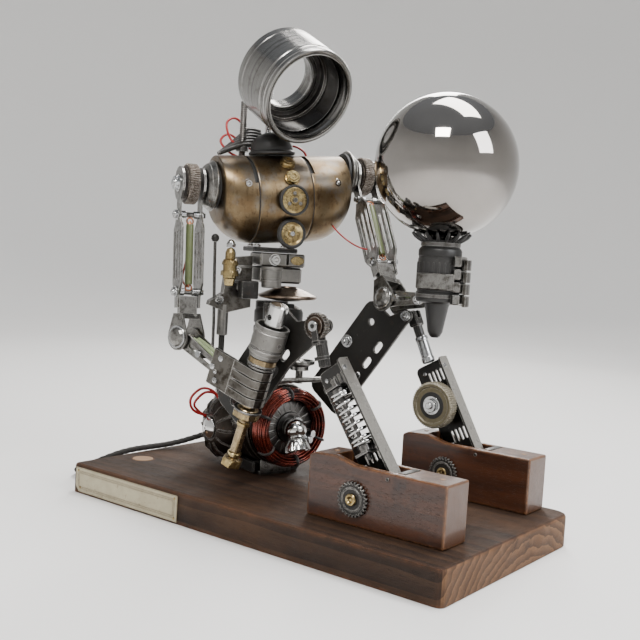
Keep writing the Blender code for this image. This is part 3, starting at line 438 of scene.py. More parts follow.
class Paint:
    """One procedural material. Its methods add nodes and give back the socket that carries the result."""

    def __init__(self, name):
        self.material = bpy.data.materials.new(name)
        self.material.use_nodes = True
        self.nodes = self.material.node_tree.nodes
        self.links = self.material.node_tree.links
        self.shader = self.nodes["Principled BSDF"]
        self.where = self.nodes.new("ShaderNodeTexCoord").outputs["Object"]
        self.facing = self.nodes.new("ShaderNodeNewGeometry").outputs["Normal"]

    def add(self, kind, result, inputs, **settings):
        """A node with its inputs linked or set, given back as its result socket."""
        made = self.nodes.new(kind)
        for key, value in settings.items():
            setattr(made, key, value)
        for key, value in inputs.items():
            if isinstance(value, bpy.types.NodeSocket):
                self.links.new(value, made.inputs[key])
            else:
                made.inputs[key].default_value = value
        return made.outputs[result]

    def maths(self, operation, a, b, clamp=False):
        return self.add("ShaderNodeMath", "Value", {0: a, 1: b}, operation=operation, use_clamp=clamp)

    def height(self):
        """The surface point's own Z, in metres."""
        return self.add("ShaderNodeSeparateXYZ", "Z", {"Vector": self.where})

    def stretched(self, x, y, z):
        return self.add("ShaderNodeMapping", "Vector", {"Vector": self.where, "Scale": (x, y, z)})

    def noise(self, size, detail=4, rough=0.55, stretch=None, twist=0):
        """Cloudy noise whose patches are about size millimetres wide."""
        vector = self.stretched(*stretch) if stretch else self.where
        return self.add("ShaderNodeTexNoise", "Fac", {"Vector": vector, "Scale": 1 / (size * MM),
                                                      "Detail": detail, "Roughness": rough,
                                                      "Distortion": twist})

    def level(self, value, low, high):
        """0 where value is low, 1 where it is high."""
        return self.add("ShaderNodeMapRange", "Result", {"Value": value, "From Min": low, "From Max": high},
                        clamp=True)

    def patches(self, low, high, *cloud):
        """Noise turned into patches; cloud is what noise takes."""
        return self.level(self.noise(*cloud), low, high)

    def between(self, share, low, high):
        """low where share is 0, high where it is 1."""
        return self.add("ShaderNodeMapRange", "Result", {"Value": share, "To Min": low, "To Max": high},
                        clamp=True)

    def mix(self, share, a, b, how="MIX"):
        """Colour a where share is 0, b where it is 1."""
        a, b = ((*c, 1) if isinstance(c, tuple) else c for c in (a, b))
        return self.add("ShaderNodeMixRGB", "Color", {"Fac": share, "Color1": a, "Color2": b}, blend_type=how)

    def edges(self, radius, gain=5):
        """1 on edges, falling to 0 within about radius millimetres of them."""
        rounded = self.add("ShaderNodeBevel", "Normal", {"Radius": radius * MM}, samples=4)
        same = self.add("ShaderNodeVectorMath", "Value", {0: rounded, 1: self.facing}, operation="DOT_PRODUCT")
        return self.maths("MULTIPLY", self.maths("SUBTRACT", 1, same), gain, clamp=True)

    def worn(self, radius, size, low, high, gain=5):
        """Edges rubbed through in patches."""
        patches = self.patches(low, high, size, 5, 0.65)
        return self.maths("MULTIPLY", self.edges(radius, gain), patches, clamp=True)

    def towards(self, direction, low, high):
        """1 where the surface faces a direction."""
        same = self.add("ShaderNodeVectorMath", "Value", {0: self.facing, 1: Vector(direction).normalized()},
                        operation="DOT_PRODUCT")
        return self.level(same, low, high)

    def bump(self, height, depth, strength):
        """A relief depth millimetres deep."""
        return self.add("ShaderNodeBump", "Normal", {"Height": height, "Distance": depth * MM,
                                                     "Strength": strength})

    def done(self, color, rough, metal, normal=None, coat=0, specular=0.5):
        """Sets the shader's inputs and gives back the material."""
        for key, value in (("Base Color", color), ("Roughness", rough), ("Metallic", metal),
                           ("Normal", normal)):
            if isinstance(value, bpy.types.NodeSocket):
                self.links.new(value, self.shader.inputs[key])
            elif isinstance(value, tuple):
                self.shader.inputs[key].default_value = (*value, 1)
            elif value is not None:
                self.shader.inputs[key].default_value = value
        self.shader.inputs["Coat Weight"].default_value = coat
        self.shader.inputs["Coat Roughness"].default_value = 0.12
        self.shader.inputs["Specular IOR Level"].default_value = specular
        self.material.diffuse_color = (0.5, 0.5, 0.5, 1)
        return self.material


def stained_wood():
    """Old oak plank: dark stain, growth rings along it, reddish rubbed edges and a paler sawn front end."""
    p = Paint("stained_wood_look")
    heart = p.add("ShaderNodeMapping", "Vector", {"Vector": p.where, "Location": (-0.03, 0, 0.085),
                                                  "Scale": (1, 0.045, 1)})
    rings = p.add("ShaderNodeTexWave", "Fac", {"Vector": heart, "Scale": 38, "Distortion": 5, "Detail": 3,
                                               "Detail Scale": 1.6, "Detail Roughness": 0.6}, wave_type="RINGS",
                  rings_direction="Y", wave_profile="SAW")
    fibres = p.noise(0.9, 6, 0.7, (1, 0.02, 1))
    pores = p.patches(0.58, 0.7, 0.5, 3, 0.6, (1, 0.045, 1))
    blotches = p.noise(38, 5, 0.6, (1, 0.4, 1))
    grain = p.mix(rings, (0.006, 0.003, 0.0016), (0.044, 0.0215, 0.0095))
    grain = p.mix(p.between(fibres, 0, 0.85), grain, (0.017, 0.007, 0.0034))
    grain = p.mix(p.level(blotches, 0.42, 0.68), grain, (0.028, 0.014, 0.007), "SCREEN")
    edge = p.maths("MULTIPLY", p.edges(5, 4), p.patches(0.36, 0.62, 9, 5, 0.7), clamp=True)
    grain = p.mix(p.between(edge, 0, 0.75), grain, (0.17, 0.058, 0.021))
    front = p.towards((0, -1, 0), 0.6, 0.9)
    sawn = p.mix(rings, (0.045, 0.02, 0.01), (0.22, 0.115, 0.055))
    sawn = p.mix(p.between(p.noise(14, 6, 0.7), 0, 0.7), sawn, (0.07, 0.034, 0.016))
    color = p.mix(front, grain, sawn)
    color = p.mix(p.between(pores, 0, 0.7), color, (0.006, 0.003, 0.002))
    color = p.mix(p.patches(0.62, 0.75, 60, 7, 0.75), color, (0.012, 0.006, 0.004))
    height = p.maths("SUBTRACT", p.maths("ADD", fibres, p.maths("MULTIPLY", rings, 0.35)), pores)
    rough = p.between(p.noise(22, 4, 0.6), 0.5, 0.82)
    return p.done(color, rough, 0, p.bump(height, 0.35, 0.7), specular=0.28)


def mahogany():
    """Old plane bodies: oiled red-brown wood with pores along the grain, rubbed orange at edges and corners,
    with painted highlights on the top and toe faces.
    """
    p = Paint("mahogany_look")
    figure = p.noise(9, 5, 0.6, (1, 0.09, 1), 1.2)
    fibres = p.noise(0.7, 6, 0.7, (1, 0.03, 1))
    pores = p.patches(0.6, 0.68, 0.45, 3, 0.55, (1, 0.07, 1))
    color = p.mix(p.level(figure, 0.32, 0.7), (0.013, 0.0042, 0.002), (0.085, 0.026, 0.0085))
    color = p.mix(p.between(fibres, 0, 0.7), color, (0.03, 0.0095, 0.0036))
    color = p.mix(p.patches(0.55, 0.72, 26, 6, 0.7), color, (0.012, 0.005, 0.004))
    # painted highlight: the top faces are lightened in patches
    top = p.towards((0, 0, 1), 0.6, 0.95)
    color = p.mix(p.maths("MULTIPLY", top, p.patches(0.4, 0.65, 12, 5, 0.65)), color, (0.1, 0.04, 0.015))
    # painted highlight: the toe's end grain is painted lighter than the sides
    lit_toe = p.towards((0, -1, 0), 0.6, 0.95)
    end = p.mix(p.noise(1.1, 5, 0.7, (1, 1, 0.16)), (0.016, 0.0055, 0.003), (0.14, 0.056, 0.022))
    color = p.mix(p.maths("MULTIPLY", lit_toe, 0.8), color, end)
    edge = p.worn(2.6, 5, 0.34, 0.55, 4.5)
    color = p.mix(p.between(edge, 0, 0.85), color, (0.42, 0.19, 0.07))
    color = p.mix(p.between(pores, 0, 0.75), color, (0.008, 0.003, 0.002))
    dents = p.noise(16, 4, 0.6)
    height = p.maths("ADD", p.maths("SUBTRACT", p.maths("MULTIPLY", fibres, 0.4), pores), dents)
    rough = p.between(p.noise(11, 5, 0.6), 0.24, 0.52)
    return p.done(color, rough, 0, p.bump(height, 0.3, 0.55), coat=0.3)


def black_steel(name="black_steel_look", front=None):
    """Black oiled steel rubbed bright along its edges; front is a direction whose faces are rubbed bare."""
    p = Paint(name)
    haze = p.noise(6, 6, 0.65)
    bare = p.worn(1, 2.4, 0.3, 0.6, 4)
    scuffs = p.patches(0.66, 0.76, 1.6, 5, 0.7, (1, 1, 0.25))
    bare = p.maths("MAXIMUM", bare, p.maths("MULTIPLY", scuffs, 0.35))
    if front:
        rubbed = p.maths("MULTIPLY", p.towards(front, 0.9, 0.98), p.patches(0.22, 0.42, 7, 5, 0.6))
        bare = p.maths("MAXIMUM", bare, rubbed)
    dark = p.mix(haze, (0.004, 0.0038, 0.0036), (0.014, 0.012, 0.01))
    dark = p.mix(p.patches(0.6, 0.74, 12, 6, 0.7), dark, (0.03, 0.016, 0.009))
    shine = p.mix(p.noise(1.2, 4, 0.6), (0.36, 0.34, 0.31), (0.8, 0.78, 0.74))
    color = p.mix(bare, dark, shine)
    rough = p.maths("SUBTRACT", p.between(haze, 0.3, 0.52), p.maths("MULTIPLY", bare, 0.1))
    return p.done(color, rough, bare, p.bump(p.noise(0.8, 4, 0.6), 0.05, 0.5), specular=0.4)


def worn_steel(name="steel_look", tone=(0.25, 0.245, 0.232), grime=0.9, rough=(0.18, 0.4)):
    """Bright steel parts: fine scratches, dark grime in patches, polished edges."""
    p = Paint(name)
    lines = p.noise(0.55, 4, 0.65)
    patches = p.noise(9, 6, 0.7)
    color = p.mix(lines, tuple(0.6 * c for c in tone), tuple(min(1.25 * c, 1) for c in tone))
    dirt = p.maths("MULTIPLY", p.level(patches, 0.48, 0.66), grime)
    color = p.mix(dirt, color, (0.03, 0.024, 0.018))
    color = p.mix(p.maths("MULTIPLY", p.patches(0.56, 0.7, 3.2, 6, 0.75), grime), color, (0.05, 0.038, 0.026))
    color = p.mix(p.between(p.edges(0.9, 4), 0, 0.7), color, (0.78, 0.77, 0.74))
    shine = p.maths("ADD", p.maths("MULTIPLY", lines, 0.5), p.maths("MULTIPLY", patches, 0.5))
    return p.done(color, p.between(shine, *rough), 1, p.bump(lines, 0.04, 0.45))


def turned_steel():
    """The head ring: rings left by the lathe, in its own frame, with stains and a few rubbed bands."""
    p = Paint("turned_steel_look")
    z = p.height()
    radius = p.add("ShaderNodeVectorMath", "Value", {0: p.stretched(1, 1, 0)}, operation="LENGTH")
    line = p.add("ShaderNodeCombineXYZ", "Vector", {"X": radius, "Y": z, "Z": 0})
    cuts = p.add("ShaderNodeTexNoise", "Fac", {"Vector": line, "Scale": 2600, "Detail": 3, "Roughness": 0.6})
    bands = p.add("ShaderNodeTexNoise", "Fac", {"Vector": line, "Scale": 330, "Detail": 4, "Roughness": 0.7})
    smear = p.noise(11, 6, 0.7)
    color = p.mix(cuts, (0.13, 0.127, 0.122), (0.44, 0.435, 0.42))
    color = p.mix(p.level(bands, 0.48, 0.7), color, (0.075, 0.072, 0.068))
    color = p.mix(p.maths("MULTIPLY", p.level(smear, 0.52, 0.68), 0.55), color, (0.1, 0.085, 0.07))
    color = p.mix(p.between(p.edges(0.8, 4), 0, 0.7), color, (0.85, 0.84, 0.82))
    rough = p.maths("ADD", p.between(cuts, 0.1, 0.22), p.maths("MULTIPLY", smear, 0.1))
    return p.done(color, rough, 1, p.bump(cuts, 0.05, 0.5))


def cast_alloy():
    """Sand-cast alloy: grainy, grey in patches, bright along its edges."""
    p = Paint("cast_alloy_look")
    grain = p.noise(1, 4, 0.6)
    patches = p.noise(11, 6, 0.7)
    color = p.mix(patches, (0.09, 0.087, 0.082), (0.33, 0.32, 0.3))
    color = p.mix(p.patches(0.6, 0.72, 5, 6, 0.7), color, (0.05, 0.042, 0.034))
    color = p.mix(p.between(p.edges(1.2, 4), 0, 0.75), color, (0.72, 0.71, 0.69))
    return p.done(color, p.between(patches, 0.3, 0.55), 1, p.bump(grain, 0.14, 0.6))


def tarnished_brass(name, bright, dull, dark, low=None, high=None, rough=(0.16, 0.4), silver=None):
    """Brass with brown tarnish in clouds and drips, grime in its seams, and a darkening towards the bottom that
    fades out from low to high.
    """
    p = Paint(name)
    clouds = p.noise(17, 7, 0.7)
    drips = p.noise(5, 6, 0.75, (1, 1, 0.35))
    spots = p.patches(0.62, 0.7, 2.4, 6, 0.75)
    color = p.mix(p.level(clouds, 0.36, 0.62), bright, dull)
    color = p.mix(p.maths("MULTIPLY", p.level(drips, 0.52, 0.68), 0.8), color, dark)
    if silver:
        color = p.mix(p.maths("MULTIPLY", p.patches(0.5, 0.6, 27, 7, 0.65), 0.8), color, silver)
    color = p.mix(p.maths("MULTIPLY", spots, 0.75), color, tuple(0.4 * c for c in dark))
    if low is not None:
        # darker towards the bottom, fading out between low and high
        rise = p.maths("ADD", p.height(), p.between(clouds, -0.012, 0.012))
        darker_below = p.maths("SUBTRACT", 1, p.level(rise, low * MM, high * MM))
        color = p.mix(p.maths("MULTIPLY", darker_below, 0.85), color, (0.03, 0.02, 0.013))
    seams = p.edges(1.6, 4)
    color = p.mix(p.maths("MULTIPLY", seams, p.patches(0.45, 0.55, 3)), color, tuple(0.3 * c for c in dark))
    scratches = p.noise(0.5, 4, 0.7, (1, 1, 0.12))
    shine = p.maths("ADD", p.maths("MULTIPLY", clouds, 0.6), p.maths("MULTIPLY", drips, 0.4))
    return p.done(color, p.between(shine, *rough), 1, p.bump(p.maths("ADD", scratches, drips), 0.05, 0.5))


def motor_black():
    """Oily black paint with rust spots, rubbed to the metal along edges."""
    p = Paint("motor_black_look")
    oil = p.noise(13, 6, 0.7)
    color = p.mix(oil, (0.006, 0.0055, 0.005), (0.04, 0.028, 0.02))
    color = p.mix(p.patches(0.62, 0.72, 6, 6, 0.7), color, (0.12, 0.045, 0.018))
    color = p.mix(p.worn(1.2, 3, 0.3, 0.6), color, (0.42, 0.4, 0.37))
    return p.done(color, p.between(oil, 0.2, 0.5), 0.75, p.bump(p.noise(1.3, 4, 0.6), 0.08, 0.5))


def varnished_copper():
    """Dark red varnish over copper wire."""
    p = Paint("copper_look")
    tone = p.noise(5, 5, 0.65)
    color = p.mix(tone, (0.05, 0.006, 0.004), (0.36, 0.05, 0.022))
    color = p.mix(p.patches(0.48, 0.62, 15, 5, 0.7), color, (0.014, 0.006, 0.005))
    return p.done(color, p.between(tone, 0.14, 0.34), 0.8, p.bump(p.noise(0.8), 0.05, 0.4), coat=0.6)


def knurled_paint(name, dark, light, metal):
    """Dull wheel rims: colour rubbed off the tooth tips, dirt between them."""
    p = Paint(name)
    tone = p.noise(4, 6, 0.7)
    color = p.mix(tone, dark, light)
    color = p.mix(p.worn(0.9, 2, 0.35, 0.6), color, (0.55, 0.52, 0.46))
    return p.done(color, p.between(tone, 0.3, 0.6), metal, p.bump(p.noise(0.7, 4, 0.6), 0.08, 0.6))


def dull_plastic(name, dark, light, rough=(0.3, 0.5)):
    """Black plastic or rubber with greyer edges."""
    p = Paint(name)
    tone = p.noise(7, 6, 0.65)
    color = p.mix(tone, dark, light)
    color = p.mix(p.maths("MULTIPLY", p.edges(0.8, 4), 0.35), color, tuple(min(c * 4 + 0.02, 1) for c in light))
    return p.done(color, p.between(tone, *rough), 0, p.bump(p.noise(0.6, 4, 0.6), 0.04, 0.5))


def chrome():
    """Plated parts under a thin film of grease, with a few dark pits."""
    p = Paint("chrome_look")
    tone = (0.7, 0.7, 0.69)
    film = p.noise(4, 5, 0.7)
    color = p.mix(film, tone, tuple(0.72 * c for c in tone))
    color = p.mix(p.patches(0.66, 0.74, 1.8, 5, 0.7), color, (0.14, 0.12, 0.1))
    return p.done(color, p.between(film, 0.05, 0.2), 1, p.bump(p.noise(0.9), 0.02, 0.4))


def smoked_mirror():
    """The bulb: half-silvered smoked glass, darker towards its neck, with a faint film of dust."""
    p = Paint("mirror_look")
    film = p.noise(26, 5, 0.6)
    color = p.mix(film, (0.25, 0.232, 0.215), (0.33, 0.31, 0.29))
    neck = p.level(p.height(), -0.045, -0.066)
    color = p.mix(p.maths("MULTIPLY", neck, 0.7), color, (0.1, 0.095, 0.09))
    dust = p.patches(0.72, 0.8, 1.1, 3, 0.6)
    return p.done(color, p.maths("ADD", p.between(film, 0.008, 0.02), p.maths("MULTIPLY", dust, 0.06)), 1,
                  coat=0.5)


def aged_label():
    """Thin plate that has yellowed unevenly, with scratches and dark stains at its rim and pins."""
    p = Paint("label_look")
    cloud = p.noise(19, 7, 0.7)
    color = p.mix(cloud, (0.22, 0.19, 0.115), (0.55, 0.5, 0.36))
    color = p.mix(p.patches(0.58, 0.72, 5, 6, 0.75), color, (0.13, 0.09, 0.05))
    marks = p.patches(0.66, 0.74, 1.3, 5, 0.7, (1, 0.3, 1))
    color = p.mix(p.maths("MULTIPLY", marks, 0.7), color, (0.07, 0.05, 0.03))
    color = p.mix(p.between(p.edges(2.5, 4), 0, 0.8), color, (0.09, 0.055, 0.03))
    return p.done(color, p.between(cloud, 0.35, 0.6), 0.25, p.bump(marks, 0.08, 0.5))


def pale_wood():
    p = Paint("inlay_look")
    fibres = p.noise(0.8, 5, 0.7, (1, 0.05, 1))
    color = p.mix(fibres, (0.16, 0.088, 0.044), (0.36, 0.22, 0.12))
    color = p.mix(p.between(p.edges(1.5, 4), 0, 0.8), color, (0.05, 0.024, 0.012))
    return p.done(color, 0.55, 0, p.bump(fibres, 0.15, 0.5))


def braided_cloth():
    """Cloth cover of the lead: diagonal yarns under the lead's own twist."""
    p = Paint("cord_look")
    yarn = p.add("ShaderNodeTexWave", "Fac", {"Vector": p.where, "Scale": 420, "Distortion": 1.5, "Detail": 2},
                 wave_type="BANDS", bands_direction="DIAGONAL")
    color = p.mix(yarn, (0.006, 0.006, 0.006), (0.035, 0.032, 0.029))
    color = p.mix(p.patches(0.62, 0.75, 1.5, 5, 0.7), color, (0.09, 0.082, 0.07))
    return p.done(color, 0.8, 0, p.bump(yarn, 0.25, 0.8))


def rubber_tube(name, light, dark):
    """Soft plastic sleeving with dirt, sheen and slight ribs."""
    p = Paint(name)
    tone = p.noise(6, 5, 0.65)
    color = p.mix(tone, light, dark)
    color = p.mix(p.patches(0.63, 0.75, 2, 5, 0.7), color, (0.04, 0.035, 0.02))
    return p.done(color, p.between(tone, 0.28, 0.5), 0, p.bump(p.noise(0.8), 0.06, 0.4), coat=0.3)


LOOK = {
    "stained_wood": stained_wood(), "mahogany": mahogany(), "inlay": pale_wood(), "label_plate": aged_label(),
    "black_steel": black_steel(), "steel": worn_steel(), "cast_alloy": cast_alloy(), "chrome": chrome(),
    "brass": tarnished_brass("brass_look", (0.55, 0.44, 0.22), (0.33, 0.24, 0.11), (0.09, 0.055, 0.028)),
    "torso_brass": tarnished_brass("torso_brass_look", (1, 0.78, 0.46), (0.72, 0.48, 0.24), (0.2, 0.11, 0.055),
                                   low=254, high=284, rough=(0.27, 0.44), silver=(0.8, 0.76, 0.68)),
    "motor_black": motor_black(), "copper_coil": varnished_copper(),
    "khaki_wheel": knurled_paint("khaki_look", (0.06, 0.05, 0.03), (0.2, 0.17, 0.1), 0.4),
    "brown_wheel": knurled_paint("brown_wheel_look", (0.02, 0.013, 0.01), (0.085, 0.055, 0.038), 0.8),
    "wheel_rubber": dull_plastic("rubber_look", (0.007, 0.007, 0.007), (0.02, 0.019, 0.018), (0.45, 0.65)),
    "black_plastic": dull_plastic("black_plastic_look", (0.006, 0.006, 0.006), (0.018, 0.017, 0.016)),
    "mirror_glass": smoked_mirror(), "cord_cloth": braided_cloth(),
}
TURNED = turned_steel()
HAND_STEEL = worn_steel("hand_steel_look", (0.13, 0.122, 0.11), 0.95, (0.2, 0.42))
OLD_CAST = worn_steel("old_cast_look", (0.14, 0.132, 0.12), 0.9, (0.25, 0.5))
BORE = worn_steel("bore_look", (0.05, 0.048, 0.046), 0.6, (0.16, 0.34))
SKIRT = tarnished_brass("skirt_look", (0.3, 0.245, 0.2), (0.12, 0.08, 0.055), (0.03, 0.018, 0.012),
                        rough=(0.2, 0.42))
OLD_BRASS = tarnished_brass("old_brass_look", (0.42, 0.33, 0.2), (0.24, 0.18, 0.1), (0.06, 0.04, 0.025))
SHIN = black_steel("shin_steel_look", (0, -0.82, 0.57))
ZINC = worn_steel("zinc_look", (0.5, 0.51, 0.52), 0.5, (0.12, 0.3))
DARK_STEEL = worn_steel("dark_steel_look", (0.16, 0.155, 0.15), 0.7, (0.26, 0.46))
COPPER_ROD = tarnished_brass("copper_rod_look", (0.5, 0.22, 0.12), (0.22, 0.09, 0.05), (0.06, 0.03, 0.02))
GREEN_TUBE = rubber_tube("green_tube_look", (0.13, 0.155, 0.06), (0.06, 0.075, 0.03))
PALE_TUBE = rubber_tube("pale_tube_look", (0.3, 0.36, 0.2), (0.16, 0.2, 0.1))
RED_WIRE = rubber_tube("red_wire_look", (0.45, 0.012, 0.01), (0.2, 0.006, 0.005))
ORANGE_WIRE = rubber_tube("orange_wire_look", (0.42, 0.06, 0.02), (0.2, 0.03, 0.012))
BLACK_TUBE = rubber_tube("black_tube_look", (0.012, 0.011, 0.01), (0.03, 0.027, 0.024))


def paint_nodes():
    """Every model node that stays in sight gets its look, with a fine bevel on hard edges."""
    looks = ((LOOK["stained_wood"], ("base_plank",)), (LOOK["inlay"], ("plank_inlay",)),
             (LOOK["mahogany"], ("right_foot_block", "left_foot_block")),
             (LOOK["black_steel"], ("right_knee_strut", "right_knee_gear", "left_knee_fork", "right_thigh",
                                    "left_thigh", "motor_cradle", "waist_top_plate")),
             (LOOK["steel"], ("hip_axle", "right_upper_arm", "left_upper_arm", "right_elbow_fork",
                              "left_elbow_fork", "right_forearm", "left_forearm")),
             (LOOK["cast_alloy"], ("waist_block", "waist_lower_block")), (LOOK["chrome"], ("piston_pin",)),
             (LOOK["brass"], ("waist_brass_fitting",)), (LOOK["black_plastic"], ("cord_gland",)),
             (HAND_STEEL, ("right_hand", "left_hand")), (OLD_BRASS, ("piston_rod",)),
             (SHIN, ("right_shin_channel", "left_shin_channel")), (OLD_CAST, ("waist_side_casting",)))
    ease = {"base_plank": 1.2, "right_foot_block": 0.8, "left_foot_block": 0.8}
    for look, names in looks:
        for name in names:
            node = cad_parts[name]
            for place in node.material_slots:
                place.material = look
            rounding = node.modifiers.new("rounded_edges", "BEVEL")
            rounding.width = ease.get(name, 0.3) * MM
            rounding.segments = 2
            rounding.limit_method = "ANGLE"
            rounding.angle_limit = radians(40)
            rounding.harden_normals = True


# ---------------------------------------------------------------- stage, lights, camera

def studio():
    """A pale round floor that curves up into a wall far from the robot, soft lights and the camera."""
    pale = bpy.data.materials.new("studio_pale")
    pale.use_nodes = True
    shader = pale.node_tree.nodes["Principled BSDF"]
    shader.inputs["Base Color"].default_value = FLOOR_COLOR
    shader.inputs["Roughness"].default_value = 0.75
    wall, bend, sides = WALL_RADIUS, WALL_BEND, 96
    profile = [(0.4, 0), (1, 0), (wall - bend, 0)]
    profile += [(wall - bend + bend * sin(a), bend - bend * cos(a))
                for a in (0.2, 0.4, 0.6, 0.8, 1, 1.2, 1.4, pi / 2)]
    profile += [(wall, WALL_HEIGHT)]
    rings = [[(0, 0, -0.0004)]]
    for radius, z in profile:
        rings.append([(radius * cos(tau * k / sides), radius * sin(tau * k / sides), z - 0.0004)
                      for k in range(sides)])
    bm = loft(rings, cap=False)
    bmesh.ops.recalc_face_normals(bm, faces=bm.faces)
    bmesh.ops.reverse_faces(bm, faces=bm.faces)
    mesh = bpy.data.meshes.new("studio_floor")
    bm.to_mesh(mesh)
    bm.free()
    mesh.shade_smooth()
    mesh.materials.append(pale)
    floor = bpy.data.objects.new("studio_floor", mesh)
    bpy.context.scene.collection.objects.link(floor)

    world = bpy.data.worlds.new("studio_world")
    bpy.context.scene.world = world
    world.use_nodes = True
    nodes, links = world.node_tree.nodes, world.node_tree.links
    sky = nodes["Background"]
    way = nodes.new("ShaderNodeSeparateXYZ")
    links.new(nodes.new("ShaderNodeTexCoord").outputs["Generated"], way.inputs["Vector"])
    ramp = nodes.new("ShaderNodeValToRGB")
    ramp.color_ramp.elements[0].color = (0.1, 0.098, 0.095, 1)
    ramp.color_ramp.elements[1].position = 0.9
    ramp.color_ramp.elements[1].color = (0.75, 0.78, 0.82, 1)
    links.new(way.outputs["Z"], ramp.inputs["Fac"])
    links.new(ramp.outputs["Color"], sky.inputs["Color"])
    sky.inputs["Strength"].default_value = 0.5

    for name, place, wide, high, power, tint in LIGHTS:
        data = bpy.data.lights.new(name, "AREA")
        data.shape = "RECTANGLE"
        data.size = wide
        data.size_y = high
        data.energy = power
        data.color = tint
        lamp = bpy.data.objects.new(name, data)
        bpy.context.scene.collection.objects.link(lamp)
        lamp.location = place
        lamp.rotation_euler = (LIGHT_AIM - Vector(place)).to_track_quat("-Z", "Y").to_euler()

    data = bpy.data.cameras.new("camera")
    data.lens = CAMERA_LENS
    data.sensor_width = CAMERA_SENSOR
    camera = bpy.data.objects.new("camera", data)
    bpy.context.scene.collection.objects.link(camera)
    azimuth, rise, roll = CAMERA_AZIMUTH, CAMERA_RISE, CAMERA_ROLL
    back = Vector((sin(azimuth) * cos(rise), -cos(azimuth) * cos(rise), sin(rise)))
    level = Vector((cos(azimuth), sin(azimuth), 0))
    up = back.cross(level)
    right = level * cos(roll) + up * sin(roll)
    up = up * cos(roll) - level * sin(roll)
    turn = Matrix((right, up, back)).transposed().to_4x4()
    camera.matrix_world = Matrix.Translation(CAMERA_PLACE * MM) @ turn
    bpy.context.scene.camera = camera


# ---------------------------------------------------------------- the lead

def lead_path():
    """The lead's middle line: over the plank's back edge, round to the coil, through it and to the plug."""
    path = smooth_route(CORD_ROUTE, 10)
    for _ in range(90):
        path[2:-4] = [a.lerp((b + c) / 2, 0.5) for a, b, c in zip(path[2:-4], path[1:-5], path[3:-3])]
    steps = 40
    for k in range(1, int(COIL_LAYERS[-1][0] * steps) + 1):
        turns = k / steps
        for low, high in zip(COIL_LAYERS, COIL_LAYERS[1:]):
            if turns <= high[0]:
                break
        share = (turns - low[0]) / (high[0] - low[0])
        radius = low[1] + (high[1] - low[1]) * share
        z = low[2] + (high[2] - low[2]) * share
        a = pi + tau * turns
        path.append(Vector((COIL.x + radius * cos(a), COIL.y + radius * sin(a), z)))
    start = path[-1].z
    middle = Vector((PLUG.x - LEAD_TURN, PLUG.y))
    for k in range(1, 15):
        share = k / 14
        a = radians(-90 + 90 * share)
        rise = share * share * (3 - 2 * share)
        path.append(Vector((middle.x + LEAD_TURN * cos(a), middle.y + LEAD_TURN * sin(a),
                            start + (PLUG.z - start) * rise)))
    return path


def lead():
    """Cloth-covered twisted lead of three cores, its strain relief and its plug."""
    path = lead_path()
    fine = []
    for a, b in zip(path, path[1:]):
        count = max(1, round((b - a).length / 2.2))
        fine += [a.lerp(b, n / count) for n in range(count)]
    fine.append(path[-1])
    rings, run, side = [], 0, None
    sides, twist = 12, 22
    for k, spot in enumerate(fine):
        ahead = (fine[min(k + 1, len(fine) - 1)] - fine[max(k - 1, 0)]).normalized()
        side = ahead.orthogonal() if side is None else side - ahead * side.dot(ahead)
        side.normalize()
        other = ahead.cross(side)
        run += (spot - fine[k - 1]).length if k else 0
        ring = []
        for n in range(sides):
            a = tau * n / sides
            lobe = abs(cos(1.5 * (a - tau * run / twist)))
            r = CORD_RADIUS * (0.84 + 0.16 * lobe)
            ring.append(spot + r * (side * cos(a) + other * sin(a)))
        rings.append(ring)
    cord = piece("lead", loft(rings), "cord_cloth", replaces=("cord_run", "cord_coil"), sharp=80)

    sections = ((0, 3.6, 3.6), (1.2, 4.1, 4.1), (5, 4.6, 4.6), (8.5, 6.4, 5.2), (11.5, 10.6, 6.2),
                (16, 12.3, 6.5), (24, 12.5, 6.5), (30, 12, 6.3), (33.2, 11.2, 5.8), (34, 9.8, 4.9))
    shell = []
    for y, wide, high in sections:
        ring = []
        for n in range(32):
            a = tau * n / 32
            c, s = cos(a), sin(a)
            power = 0.55
            ring.append((wide * copysign(abs(c) ** power, c), y, high * copysign(abs(s) ** power, s)))
        shell.append(ring)
    shapes = [loft(shell)]
    for y in (18, 21, 24, 27):
        for z in (-6.6, 5.9):
            shapes.append(box((-7, y, z), (7, y + 1.2, z + 0.7), 0.2))
    plug = piece("plug_body", shapes, "black_plastic", at(*PLUG), replaces=("cord_plug",))
    pins = []
    for x in (-9.2, 9.2):
        pins.append((disc(2, 33.2, 51.8, 20, 0.6), at(x, 0, 0) @ Y_AXIS))
    prongs = piece("plug_pins", pins, "brass", at(*PLUG))
    relief = [Vector(p) for p in smooth_route(CORD_ROUTE[:3], 9)]
    radii = []
    for k in range(len(relief)):
        share = k / (len(relief) - 1)
        radii.append((4.9 - 1.5 * share) * (1 if k % 3 else 0.88))
    piece("strain_relief", tube(relief, radii, 20), "black_plastic", sharp=60)


# ---------------------------------------------------------------- plank and feet

